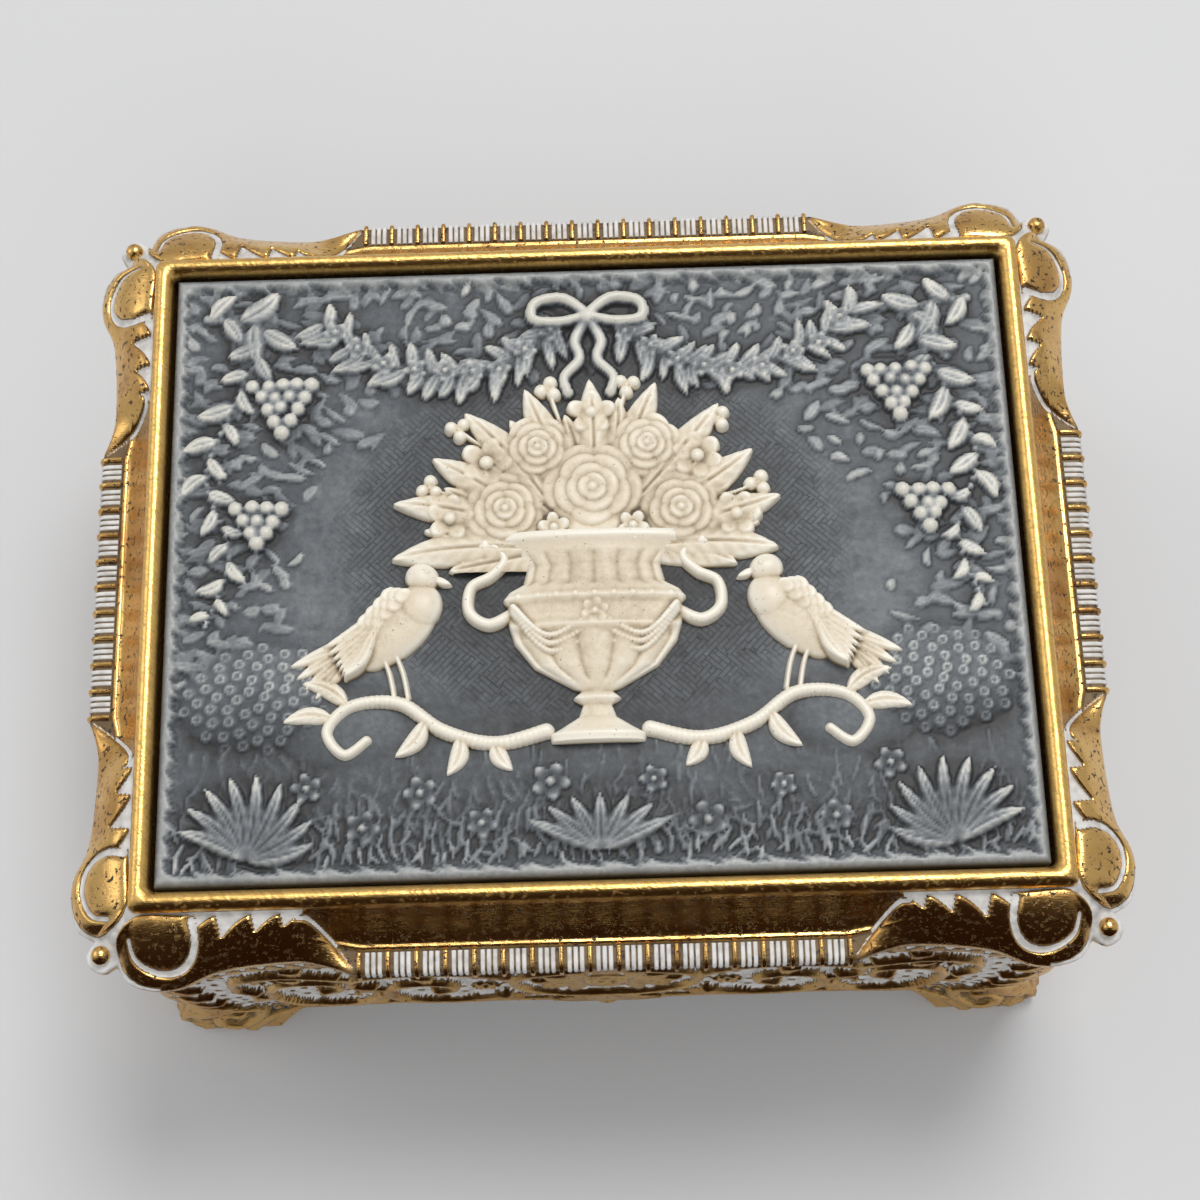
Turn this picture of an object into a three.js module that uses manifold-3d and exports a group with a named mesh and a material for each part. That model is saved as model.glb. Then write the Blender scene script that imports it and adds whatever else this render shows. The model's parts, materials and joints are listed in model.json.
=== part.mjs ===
// A footed casket music box: a cast gilt case on four bracket legs, a hinged lid that frames a
// stone plaque, a velvet-lined well, and an eighteen-note cylinder movement under a clear cover.
// Sizes are in millimetres. +X is to the right, +Y to the back and +Z up, and the origin is on the
// table under the middle of the case.
import * as THREE from "three";
import { mergeVertices } from "three/addons/utils/BufferGeometryUtils.js";
import Module from "manifold-3d";

const wasm = await Module();
wasm.setup();

// Clearances
const seatGap = 0.1; // between faces that rest on each other
const insertGap = 0.3; // round a loose insert
const shaftGap = 0.15; // radial, round a shaft, pin or screw
const sweepGap = 0.3; // between a still piece and one that turns past it

// Cuts
const past = 1; // a cut or a joined piece runs this far past a face
const through = 100; // and this far where it goes right through
const sunk = 0.5; // a joined piece starts this far inside what carries it

// Sides of round solids
const ballSides = 10;
const headSides = 12;
const shankSides = 6;
const wireSides = 8;

// Stone plaque
const plaqueWidth = 101.6;
const plaqueDepth = 76.2;
const plaqueThickness = 4.4;
const plaqueGap = 0.5; // open joint round the stone
const plaqueMargin = 1.7; // flat border round the carving
const groundDepth = 1.05; // carved ground below the border
const meadowTop = -23.7; // ground steps up from here to the front
const meadowRise = 0.4;
const reliefGrid = 1.65; // spacing of the carving's faces
const stepWidth = 0.2; // of the step between the border and the ground

// Carving: an urn of roses between two doves, below a garland, with heights over the ground
const urnFoot = -22.5;
const urnRise = 2.4;
const bouquetMiddle = 2.5;
const bouquetReach = 19.5;
const bouquetLeaves = 12;
const leafRise = 1.2;
const leafNotch = 0.62; // how far the notches between leaves reach, as a share of the leaves
const stemRadius = 1.3;
const stemRise = 0.9;
const swagRadius = 2.2;
const flowerRadius = 1.9;
const flowerRise = 1.2;
const fanReach = 9;
const fanLeaves = 6;

// Lid frame, from the stone outwards
const beadWidth = 2.3;
const beadRise = 1.5;
const coveWidth = 3.6;
const coveRise = 5.2;
const filletWidth = 0.5;
const filletRise = 0.35;
const ribBandWidth = 2.7;
const rimThickness = 2.0;
const plaqueRise = 0.4; // stone's face above the foot of the bead
const ledgeWidth = 4.8; // that the stone lies on
const ledgeThickness = 1.3;
const liningRecess = 0.4; // recess edge outside the foot of the bead

// Ribs of the rim
const frontRibs = 18;
const sideRibs = 11;
const ribPitch = 3.3;
const ribEnd = 0.6; // band left past the last rib
const edgeRound = 0.5; // rim's rounded outer edge
const beadCorner = 1; // corner radius of the bead

// Scrolled outline of the rim
const lobeStand = 1.1; // crest of a lobe past the rib band
const lobeFromCorner = 9; // lobe's crest from the corner, along the edge
const frontNeck = 1.7; // neck inside the rib band
const sideNeck = 1.3;
const neckFromRibs = 7.2;
const creaseFromCorner = 4.6; // where a lobe ends, along its own edge
const creaseIn = 1.9; // and in from that edge
const cornerBallRadius = 1.1;
const cornerBallIn = 2.9; // ball's centre in from both edges

// Case
const caseHeight = 50; // top of the case above the table
const toeHeight = 1.6; // fullest part of the foot
const instepHeight = 5;
const ankleHeight = 9;
const wallFoot = 14; // wall runs straight from here up
const kneeHeight = 22;
const waistHeight = 34;
const lidGap = 0.3; // between the case and the closed lid
const wallInset = 2.9; // wall's face inside the rib band
const wallThickness = 2.5;
const wallCornerRadius = 6;
const toeCornerRadius = 5;
const cavityCornerRadius = 3;
const rimHeight = 6; // moulded band under the lid
const rimSwell = 0.5; // share of the way that the band swells to the lid's outline
const rimStep = 1; // height of the band's lower and upper rounding
const footFlare = 1.9; // toe outside the wall's face
const ankleIn = 0.4; // ankle inside the wall's face
const kneeOut = 0.4;
const legWidth = 14; // at the foot, on each face of a corner
const apronHeight = 13.6; // bottom of the wall between the legs
const pendantDrop = 3.4; // of the middle of the apron
const pendantHalf = 9;
const archShoulder = 14; // from the leg to where the apron runs level
const baseRecess = 14.2; // underside of the base plate above the table
const baseThickness = 1;
const ledgeHeight = 5; // case ledge over the base plate
const caseLedgeWidth = 1.4;
const bossRadius = 3.5;

// Hinge
const knuckleRadius = 1.5;
const knuckleLength = 7;
const knuckleGap = 0.3;
const knuckles = 5;
const hingePinRadius = 0.75;
const hingeIn = 0.6; // hinge axis inside the rear edge of the rim
const hingeBelow = 0.4; // hinge axis below the top of the case

// Screws
const screwRadius = 1.2;
const screwHeadRadius = 2.2;
const screwHeadHeight = 1.4;
const screwSlot = 0.5;
const smallScrewRadius = 0.8;
const smallHeadRadius = 1.5;
const smallHeadHeight = 0.9;
const screwPilotDepth = 4;

// Linings and clear cover
const boardThickness = 1.2;
const wellTop = 46;
const wellPadThickness = 2.6;
const liningThickness = 1.5;
const liningGap = 0.2; // lid lining above the lid's lower face
const coverThickness = 1.5;
const coverTop = 44.4;
const plungerHoleRadius = 1.2;

// Movement
const bedWidth = 42;
const bedLength = 50;
const bedThickness = 2;
const bedCornerRadius = 3;
const holeInset = 5.5; // bed's screw holes from its edges
const rearHoleIn = 3; // the rear one on the right lies this much further in
const movementSide = 2.2; // bed to the bay lining, on the well's side
const movementEnd = 1.9; // and on the side of the case's end wall
const arborHeight = 11.6; // cylinder axis over the underside of the bed
const cylinderFromMiddle = 8.4;
const cylinderRadius = 6.5;
const cylinderLength = 19;
const cylinderArborRadius = 0.85;
const pinOut = 0.7;
const pinSize = 0.22;
const pinRoot = 0.6; // of a pin's length inside the barrel
const tuneStep = 0.377; // turn from each note's first pin to the next one's, as a share
const tuneSway = 0.11;
const notes = 18;
const pinsPerNote = 3;
const driveTeeth = 30;
const cylinderTeeth = 20;
const driveModule = 0.72;
const driveFace = 2;
const driveLift = 0.3; // crown gear over the bed
const discDrop = 0.3; // crown gear's disc below the roots of its teeth
const discLap = 0.4; // disc under the ring of teeth
const greatTeeth = 48;
const pinionTeeth = 8;
const wormTeeth = 20;
const fineModule = 0.35;
const fineFace = 1.2;
const meshSlack = 0.12; // added to the centre distance of each gear pair
const pinionDegrees = 15; // governor's pinion above the level of the cylinder
const wheelGap = 0.5; // cylinder's end from the wheel on its arbor
const greatGap = 0.7; // and from the great wheel
const frameGap = 0.5; // great wheel to the governor's frame
const wheelOut = 0.8; // frame to the worm wheel
const springHeight = 11;
const springTurns = 5;
const springStrip = 0.3;
const springSteps = 10; // to a turn
const hubRadius = 2.3;
const housingRadius = 9.5;
const housingWall = 1;
const housingHeight = 15;
const housingLift = 0.9; // housing over the pitch circle of the crown gear
const floorLift = 0.2; // its floor over its lower edge
const springClear = 0.6; // mainspring over the floor's underside
const housingArm = 1.6;
const housingDisc = 1; // floor that holds the spring up
const pillarRadius = 1.9;
const armHalf = 1.7; // half width of the arms to the pillars
const housingScrewIn = 1.6; // screws reach this far into the bed
const arborRadius = 1.6;
const arborTipRadius = 1;
const ratchetTeeth = 12;
const ratchetRadius = 4.2;
const ratchetDepth = 0.8;
const ratchetThickness = 0.8;
const clickSize = 2.6;
const combThickness = 2;
const tineThickness = 0.7;
const tineWidth = 0.8;
const longTine = 12;
const shortTine = 8;
const combBed = 9.4;
const combScrewDepth = 3;
const combScrewShare = 0.28; // screws either side of the middle, as a share of the comb
const standIn = 0.5; // comb's stand behind the roots of its tines
const frameThickness = 1;
const frameFoot = 1.2;
const frameDepth = 4.4;
const frameSide = 2.4; // frame past the worm's axis
const frameEnd = 4; // and past the cylinder's
const frameRise = 2.6; // and over the pinion's
const bearingHalf = 1.8; // outer bearing of the governor's arbor
const bearingGap = 0.5;
const armSide = 2; // arms that hold the worm
const armReach = 1.7;
const armThickness = 1.7;
const topArmThickness = 0.9;
const fanGap = 0.5; // under the fan
const wormRoom = 0.8;
const shaftSeat = 1.2; // foot of the worm's shaft over the bed
const governorScrewOut = 1;
const governorArborRadius = 0.5;
const pinionPast = 0.1; // pinion wider than the great wheel, on each side
const spindlePast = 0.6; // governor's arbor past the pinion
const wormRadius = 1.3;
const wormShaftRadius = 0.45;
const wormTurns = 5;
const wormSteps = 8; // to a turn
const threadDepth = 0.35;
const threadOut = 0.24;
const threadFoot = 0.3; // half widths of the thread
const threadCrest = 0.1;
const fanRadius = 4.4;
const fanHeight = 2.4;
const fanThickness = 0.5;
const fanHubRadius = 1.3;
const fanHubRise = 0.4;
const fanLift = 1.3; // fan over the worm wheel
const bladeLift = 0.2; // blades over the hub's lower end
const leverThickness = 0.8;
const leverWidth = 2.4;
const leverFromPivot = 27; // plunger from the lever's pivot
const leverTail = 1.6; // lever past the middle of the plunger
const leverEyeRadius = 1.5;
const pivotPast = 0.4; // pivot pin past the lever
const leafWidth = 3;
const leafThickness = 0.35;
const leafRoom = 2.9; // beside the fan
const leafGap = 0.8; // between the leaf's upright and the bracket
const leafBend = 2; // rise and run of the leaf's slanted tip
const leafShift = 0.2; // middle of the leaf behind the middle of the lever
const bracketHalf = 2.2;
const bracketFoot = 1.1;
const bracketThickness = 1;
const bracketRise = 2; // bracket's top over the underside of the lever
const pivotRadius = 0.6;
const collarRadius = 1.6;
const collarHeight = 0.8;
const plungerRadius = 0.6;
const keyWing = 9;
const keyHeight = 8;
const keyClear = 2; // key above the table
const keyHubRadius = 2.8;
const keyBlade = 1.6;
const keyEyeRadius = 1.7;
const keySocket = 4; // depth that the arbor reaches into the key
const keyRoom = 0.6; // between the key's hub and the base plate, round it and over it
const keyHubLift = 1.5; // hub's end over the bottom of the wings

// Places that follow from the sizes
const halfX = plaqueWidth / 2 + plaqueGap + beadWidth + coveWidth + filletWidth + ribBandWidth;
const halfY = plaqueDepth / 2 + plaqueGap + beadWidth + coveWidth + filletWidth + ribBandWidth;
const pocketX = plaqueWidth / 2 + plaqueGap;
const pocketY = plaqueDepth / 2 + plaqueGap;
const footX = pocketX + beadWidth;
const footY = pocketY + beadWidth;
const lidBottom = caseHeight + lidGap;
const rimTop = lidBottom + rimThickness;
const beadFoot = rimTop + coveRise;
const plaqueFace = beadFoot + plaqueRise;
const groundZ = plaqueFace - groundDepth;
const ledgeTop = plaqueFace - plaqueThickness - seatGap;
const ledgeBottom = ledgeTop - ledgeThickness;
const frontRibHalf = (ribPitch * (frontRibs - 1)) / 2 + ribEnd;
const sideRibHalf = (ribPitch * (sideRibs - 1)) / 2 + ribEnd;
const wallX = halfX - wallInset;
const wallY = halfY - wallInset;
const cavityX = wallX - wallThickness;
const cavityY = wallY - wallThickness;
const baseTop = baseRecess + baseThickness;
const ledgeZ = baseTop + ledgeHeight;
const hingeY = halfY - hingeIn;
const hingeZ = caseHeight - hingeBelow;
const bossX = cavityX - cavityCornerRadius;
const bossY = cavityY - cavityCornerRadius;
const bayRight = cavityX - insertGap;
const bedX = bayRight - boardThickness - movementEnd - bedWidth / 2;
const bayLeft = bedX - bedWidth / 2 - movementSide - boardThickness;
const wellWidth = bayLeft - insertGap - (insertGap - cavityX); // the well takes what is left
const bedZ = baseTop + seatGap;
const drivePitchRadius = (driveTeeth * driveModule) / 2;
const cylinderWheelRadius = (cylinderTeeth * driveModule) / 2;
const driveY = -bedLength / 2 + drivePitchRadius + driveFace / 2;
const wheelY = driveY + drivePitchRadius;
const cylinderY = wheelY + driveFace / 2 + wheelGap;
const greatY = cylinderY + cylinderLength + greatGap;
const crownPitchZ = arborHeight - cylinderWheelRadius - meshSlack;
const housingZ = crownPitchZ + housingLift;
const pinionDistance = ((greatTeeth + pinionTeeth) * fineModule) / 2 + meshSlack;
const pinionAngle = THREE.MathUtils.degToRad(pinionDegrees);
const pinionX = cylinderFromMiddle - pinionDistance * Math.cos(pinionAngle);
const pinionZ = arborHeight + pinionDistance * Math.sin(pinionAngle);
const wormWheelRadius = (wormTeeth * fineModule) / 2;
const frameY = greatY + fineFace + frameGap;
const wormWheelY = frameY + frameThickness + wheelOut;
const wormX = pinionX - wormWheelRadius - wormRadius - meshSlack;
const wormY = wormWheelY + fineFace / 2;
const fanZ = pinionZ + wormWheelRadius + fanLift;
const leverZ = fanZ + fanHeight + fanHubRise + sweepGap;
const bendX = wormX - fanRadius - sweepGap - leafRoom; // upright of the stop spring's leaf
const pivotX = bendX - bracketHalf - leafGap;
const plungerX = pivotX + leverFromPivot;
const plungerTop = lidBottom + liningGap - insertGap;

// Materials
const paint = (color, roughness, metalness, extra = {}) =>
  new THREE.MeshStandardMaterial({ color, roughness, metalness, ...extra });
const gilt = paint(0xb8862f, 0.35, 1);
const stone = paint(0x6c7580, 0.55, 0);
const velvet = paint(0x6e1018, 0.95, 0);
const clear = paint(0xe8f0f2, 0.05, 0, { transparent: true, opacity: 0.3 });
const steel = paint(0x8f9194, 0.3, 1);
const brass = paint(0xc7a04a, 0.3, 1);
const nickel = paint(0xb9b6ae, 0.25, 1);
const plastic = paint(0xe6e2d6, 0.5, 0);

// Solids and meshes
function solid(geometry) {
  const bare = geometry.index ? geometry.toNonIndexed() : geometry.clone();
  bare.deleteAttribute("normal");
  bare.deleteAttribute("uv");
  const merged = mergeVertices(bare, 1e-4);
  return new wasm.Manifold(
    new wasm.Mesh({
      numProp: 3,
      vertProperties: merged.attributes.position.array,
      triVerts: new Uint32Array(merged.index.array),
    }),
  );
}

function geometryOf(piece) {
  const { vertProperties, triVerts, numProp, numVert } = piece.getMesh();
  const points = new Float32Array(numVert * 3);
  for (let i = 0; i < numVert; i++) {
    points.set(vertProperties.subarray(i * numProp, i * numProp + 3), i * 3);
  }
  const geometry = new THREE.BufferGeometry();
  geometry.setAttribute("position", new THREE.BufferAttribute(points, 3));
  geometry.setIndex(new THREE.BufferAttribute(triVerts, 1));
  geometry.computeVertexNormals();
  return geometry;
}

function add(group, name, piece, material) {
  const mesh = new THREE.Mesh(geometryOf(piece), material);
  mesh.name = name;
  group.add(mesh);
  return mesh;
}

const joined = (pieces) => pieces.reduce((whole, piece) => whole.add(piece));
const without = (whole, cuts) => cuts.reduce((left, cut) => left.subtract(cut), whole);

// A box by its lowest and highest corners.
function block([x0, y0, z0], [x1, y1, z1]) {
  const box = new THREE.BoxGeometry(x1 - x0, y1 - y0, z1 - z0);
  return solid(box.translate((x0 + x1) / 2, (y0 + y1) / 2, (z0 + z1) / 2));
}

// More sides for a larger radius, and always an even number.
const sidesFor = (radius) => 8 + 2 * Math.round(3.4 * Math.sqrt(radius));

// A rod along "x", "y" or "z" from one place to another along it.
function rod(axis, [x, y, z], from, to, radius, sides = sidesFor(radius)) {
  const bar = new THREE.CylinderGeometry(radius, radius, to - from, sides);
  const middle = (from + to) / 2;
  if (axis === "x") return solid(bar.rotateZ(-Math.PI / 2).translate(middle, y, z));
  if (axis === "y") return solid(bar.translate(x, middle, z));
  return solid(bar.rotateX(Math.PI / 2).translate(x, y, middle));
}

const throughHole = ([x, y], radius) => rod("z", [x, y, 0], -through, through, radius);

function roundedRectangle(x0, y0, x1, y1, radius) {
  const shape = new THREE.Shape();
  shape.moveTo(x0 + radius, y0).lineTo(x1 - radius, y0);
  shape.absarc(x1 - radius, y0 + radius, radius, -Math.PI / 2, 0);
  shape.absarc(x1 - radius, y1 - radius, radius, 0, Math.PI / 2);
  shape.absarc(x0 + radius, y1 - radius, radius, Math.PI / 2, Math.PI);
  shape.absarc(x0 + radius, y0 + radius, radius, Math.PI, 1.5 * Math.PI);
  return shape;
}

// A flat shape in XY made solid from z0 to z1.
function slab(shape, z0, z1, curveSegments = 5) {
  const settings = { depth: z1 - z0, bevelEnabled: false, curveSegments };
  return solid(new THREE.ExtrudeGeometry(shape, settings).translate(0, 0, z0));
}

// A flat shape in XZ made solid from y0 to y1.
function slabAlongY(shape, y0, y1, curveSegments = 5) {
  const settings = { depth: y1 - y0, bevelEnabled: false, curveSegments };
  const geometry = new THREE.ExtrudeGeometry(shape, settings);
  return solid(geometry.rotateX(Math.PI / 2).translate(0, y1, 0));
}

// A flat shape in YZ made solid from x0 to x1.
function slabAlongX(shape, x0, x1, curveSegments = 5) {
  const settings = { depth: x1 - x0, bevelEnabled: false, curveSegments };
  const geometry = new THREE.ExtrudeGeometry(shape, settings);
  return solid(geometry.rotateX(Math.PI / 2).rotateZ(Math.PI / 2).translate(x0, 0, 0));
}

function roundedSlab(x, y, radius, z0, z1) {
  return slab(roundedRectangle(-x, -y, x, y, radius), z0, z1);
}

// A skin through rings of equal length. Open skins get flat ends, closed ones join up.
function loft(rings, closed) {
  const count = rings[0].length;
  const points = rings.flat();
  const faces = [];
  const rows = closed ? rings.length : rings.length - 1;
  for (let k = 0; k < rows; k++) {
    const a = k * count;
    const b = ((k + 1) % rings.length) * count;
    for (let i = 0; i < count; i++) {
      const j = (i + 1) % count;
      faces.push(a + i, a + j, b + j, a + i, b + j, b + i);
    }
  }
  if (!closed) {
    const flat = (ring) => ring.map((p) => new THREE.Vector2(p.x, p.y));
    const last = (rings.length - 1) * count;
    for (const [a, b, c] of THREE.ShapeUtils.triangulateShape(flat(rings[0]), [])) {
      faces.push(a, c, b);
    }
    for (const [a, b, c] of THREE.ShapeUtils.triangulateShape(flat(rings.at(-1)), [])) {
      faces.push(last + a, last + b, last + c);
    }
  }
  const geometry = new THREE.BufferGeometry().setFromPoints(points);
  geometry.setIndex(faces);
  return solid(geometry);
}

// The rim's outline. Each quarter runs from the middle of the back edge to the middle of the right
// edge, and each of its points has a partner on any rounded rectangle inside it.
const scrollSteps = 7;
const cornerSteps = 3;

function quarterOutline() {
  const crease = [
    new THREE.Vector2(halfX - creaseFromCorner, halfY - creaseIn),
    new THREE.Vector2(halfX - creaseIn, halfY - creaseFromCorner),
  ];
  const backScroll = new THREE.SplineCurve([
    new THREE.Vector2(frontRibHalf, halfY),
    new THREE.Vector2(frontRibHalf + neckFromRibs / 2, halfY - frontNeck * 0.7),
    new THREE.Vector2(frontRibHalf + neckFromRibs, halfY - frontNeck),
    new THREE.Vector2((frontRibHalf + neckFromRibs + halfX - lobeFromCorner) / 2, halfY - frontNeck * 0.55),
    new THREE.Vector2(halfX - lobeFromCorner - 3, halfY + lobeStand * 0.8),
    new THREE.Vector2(halfX - lobeFromCorner, halfY + lobeStand),
    new THREE.Vector2(halfX - lobeFromCorner + 3, halfY + lobeStand * 0.2),
    crease[0],
  ]);
  const sideScroll = new THREE.SplineCurve([
    crease[1],
    new THREE.Vector2(halfX + lobeStand * 0.2, halfY - lobeFromCorner + 3),
    new THREE.Vector2(halfX + lobeStand, halfY - lobeFromCorner),
    new THREE.Vector2(halfX + lobeStand * 0.8, halfY - lobeFromCorner - 3),
    new THREE.Vector2(halfX - sideNeck * 0.55, (sideRibHalf + neckFromRibs + halfY - lobeFromCorner) / 2),
    new THREE.Vector2(halfX - sideNeck, sideRibHalf + neckFromRibs * 0.8),
    new THREE.Vector2(halfX - sideNeck * 0.7, sideRibHalf + neckFromRibs / 3),
    new THREE.Vector2(halfX, sideRibHalf),
  ]);
  const corner = [];
  const middle = new THREE.Vector2(halfX - cornerBallIn, halfY - cornerBallIn);
  for (let i = 1; i < cornerSteps; i++) {
    const turn = THREE.MathUtils.lerp(Math.PI * 0.55, -Math.PI * 0.05, i / cornerSteps);
    corner.push(
      new THREE.Vector2(Math.cos(turn), Math.sin(turn)).multiplyScalar(cornerBallRadius * 1.7).add(middle),
    );
  }
  const samples = [];
  const push = (point, part, share) => samples.push({ point, part, share });
  push(new THREE.Vector2(0, halfY), "back", 0);
  backScroll.getPoints(scrollSteps).forEach((point, i) => push(point, "back", Math.min(1, i / 2)));
  corner.forEach((point) => push(point, "corner", 1));
  sideScroll
    .getPoints(scrollSteps)
    .forEach((point, i) => push(point, "side", Math.min(1, (scrollSteps - i) / 2)));
  push(new THREE.Vector2(halfX, 0), "side", 0);
  return samples;
}

const quarter = quarterOutline();
const backEnd = quarter.filter((s) => s.part === "back").length - 1;
const sideStart = quarter.findIndex((s) => s.part === "side");

// The partner of sample i on a rounded rectangle with these half sizes.
function partner(i, x, y, radius) {
  const { point, part } = quarter[i];
  if (part === "back") {
    return new THREE.Vector2(((x - radius) * point.x) / quarter[backEnd].point.x, y);
  }
  if (part === "side") {
    return new THREE.Vector2(x, ((y - radius) * point.y) / quarter[sideStart].point.y);
  }
  const turn = ((sideStart - i) / (sideStart - backEnd)) * (Math.PI / 2);
  return new THREE.Vector2(x - radius + radius * Math.cos(turn), y - radius + radius * Math.sin(turn));
}

// A whole ring from a function that gives each sample of the quarter its place.
function ringOf(place) {
  const first = quarter.map((_, i) => place(i));
  const last = first.length - 1;
  const ring = [];
  const mirrored = (p, sx, sy) => new THREE.Vector3(p.x * sx, p.y * sy, p.z);
  for (let i = last; i > 0; i--) ring.push(mirrored(first[i], 1, 1));
  for (let i = 0; i < last; i++) ring.push(mirrored(first[i], -1, 1));
  for (let i = last; i > 0; i--) ring.push(mirrored(first[i], -1, -1));
  for (let i = 0; i < last; i++) ring.push(mirrored(first[i], 1, -1));
  return ring;
}

const rectangleRing = (x, y, radius, z) =>
  ringOf((i) => {
    const p = partner(i, x, y, radius);
    return new THREE.Vector3(p.x, p.y, z);
  });

// Lid
function lidFrame() {
  const slope = coveWidth + filletWidth + ribBandWidth;
  const ribInner = ribBandWidth / slope;
  const filletInner = (ribBandWidth + filletWidth) / slope;
  const edgeShare = edgeRound / slope;
  // share runs from the outline to the foot of the bead
  const between = (i, share) =>
    quarter[i].point.clone().lerp(partner(i, footX, footY, beadCorner), share);
  const level = (share, z) =>
    ringOf((i) => {
      const p = between(i, share);
      return new THREE.Vector3(p.x, p.y, z);
    });
  // the scrolls swell where the ribs lie flat
  const sloping = (share, ribZ) =>
    ringOf((i) => {
      const p = between(i, share);
      const padZ = rimTop + coveRise * Math.sin((share * Math.PI) / 2);
      return new THREE.Vector3(p.x, p.y, THREE.MathUtils.lerp(ribZ, padZ, quarter[i].share));
    });
  const cove = (part) =>
    sloping(
      THREE.MathUtils.lerp(filletInner, 1, part),
      THREE.MathUtils.lerp(rimTop + filletRise, beadFoot, part ** 1.5),
    );
  const bead = (turn) => {
    const inset = (beadWidth / 2) * (1 - Math.cos(turn));
    return rectangleRing(footX - inset, footY - inset, beadCorner, beadFoot + beadRise * Math.sin(turn));
  };
  const skin = loft(
    [
      level(edgeShare, lidBottom),
      level(0, lidBottom + edgeRound),
      level(0, rimTop - edgeRound),
      sloping(edgeShare, rimTop),
      sloping(ribInner, rimTop),
      sloping(filletInner, rimTop + filletRise),
      cove(0.4),
      cove(0.75),
      rectangleRing(footX, footY, beadCorner, beadFoot),
      bead(Math.PI * 0.3),
      bead(Math.PI * 0.65),
      rectangleRing(pocketX, pocketY, beadCorner, ledgeTop),
      rectangleRing(pocketX - ledgeWidth, pocketY - ledgeWidth, beadCorner, ledgeTop),
      rectangleRing(pocketX - ledgeWidth, pocketY - ledgeWidth, beadCorner, ledgeBottom),
      rectangleRing(footX + liningRecess, footY + liningRecess, beadCorner, ledgeBottom),
      rectangleRing(footX + liningRecess, footY + liningRecess, beadCorner, lidBottom),
    ],
    true,
  );
  const balls = [-1, 1].flatMap((sx) =>
    [-1, 1].map((sy) => {
      const ball = new THREE.SphereGeometry(cornerBallRadius, ballSides, ballSides / 2);
      return solid(ball.translate(sx * (halfX - cornerBallIn), sy * (halfY - cornerBallIn), rimTop));
    }),
  );
  const whole = joined([skin, ...balls, ...hingeKnuckles("lid")]);
  return without(whole, [...knuckleRooms("case"), hingeBore()]);
}

// Hinge: knuckles alternate, and the case has the outer ones.
function knucklePlaces(owner) {
  const places = [];
  for (let i = 0; i < knuckles; i++) {
    const middle = (i - (knuckles - 1) / 2) * (knuckleLength + knuckleGap);
    if ((i % 2 === 0) === (owner === "case")) places.push(middle);
  }
  return places;
}

// Each knuckle runs on into its neighbours' rooms, which then trim it to length.
const hingeKnuckles = (owner) =>
  knucklePlaces(owner).map((x) => {
    const end = (knuckles * (knuckleLength + knuckleGap) - knuckleGap) / 2;
    const half = knuckleLength / 2 + knuckleGap / 2;
    const [from, to] = [Math.max(x - half, -end), Math.min(x + half, end)];
    return rod("x", [0, hingeY, hingeZ], from, to, knuckleRadius);
  });

// Room for the other half's knuckles to turn in.
const knuckleRooms = (owner) =>
  knucklePlaces(owner).map((x) => {
    const half = knuckleLength / 2 + knuckleGap;
    return rod("x", [0, hingeY, hingeZ], x - half, x + half, knuckleRadius + knuckleGap);
  });

const hingeHalf = (knuckles * (knuckleLength + knuckleGap)) / 2;
const hingeBore = () =>
  rod("x", [0, hingeY, hingeZ], -hingeHalf - past, hingeHalf + past, hingePinRadius + shaftGap);

// Forms of the carving. Each gives its height over the ground at a place on the plaque.
const knoll = ([cx, cy], [radiusX, radiusY], rise, degrees = 0) => {
  const turn = THREE.MathUtils.degToRad(degrees);
  const [c, s] = [Math.cos(turn), Math.sin(turn)];
  return (x, y) => {
    const u = (x - cx) * c + (y - cy) * s;
    const v = (y - cy) * c - (x - cx) * s;
    return rise * Math.sqrt(Math.max(0, 1 - (u / radiusX) ** 2 - (v / radiusY) ** 2));
  };
};

// A stem or a swag, rounded along a line of places.
const stem = (places, radius) => (x, y) => {
  const point = new THREE.Vector3(x, y, 0);
  const ends = places.map(([px, py]) => new THREE.Vector3(px, py, 0));
  const nearest = Math.min(
    ...ends.slice(1).map((end, i) => {
      const line = new THREE.Line3(ends[i], end);
      return line.closestPointToPoint(point, true, new THREE.Vector3()).distanceTo(point);
    }),
  );
  return stemRise * Math.sqrt(Math.max(0, 1 - (nearest / radius) ** 2));
};

// Leaves that fan out from a place between two angles.
const leafFan = ([cx, cy], reach, leaves, from, to) => (x, y) => {
  const degrees = THREE.MathUtils.radToDeg(Math.atan2(y - cy, x - cx));
  const part = (THREE.MathUtils.euclideanModulo(degrees - from, 360) / (to - from)) * leaves;
  if (part > leaves) return 0;
  const tip = 1 - 2 * Math.abs((part % 1) - 0.5);
  const radius = Math.hypot(x - cx, y - cy) / (reach * THREE.MathUtils.lerp(leafNotch, 1, tip));
  return radius < 1 ? leafRise : 0;
};

const urnProfile = [
  [0, 5.5], [1, 5.6], [3, 2.2], [4.4, 1.7], [6.8, 3.4], [9, 7.2], [12, 9.5], [15, 10.4],
  [17.4, 10.8], [19.4, 8.4], [21.5, 7.9], [24.7, 10.9], [25.6, 11],
];

function urn(x, y) {
  const above = urnProfile.findIndex(([level]) => level > y - urnFoot);
  if (above < 1) return 0;
  const [[z0, half0], [z1, half1]] = [urnProfile[above - 1], urnProfile[above]];
  const half = THREE.MathUtils.mapLinear(y - urnFoot, z0, z1, half0, half1);
  return urnRise * Math.sqrt(Math.max(0, 1 - (x / half) ** 2));
}

const handle = [[10, 15.6], [12.6, 14.6], [14.8, 16.2], [14.6, 19.2], [12.2, 20.6], [12.4, 24.8]];
const doveScroll = [[6, -21], [12, -22.3], [18, -20.6], [23, -17.2], [28.6, -17.4], [31.4, -20.4]];
const meadowFlowers = [[13, -31.5], [21, -27.5], [27.5, -32.5], [6, -27], [33, -26.5]];

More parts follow.
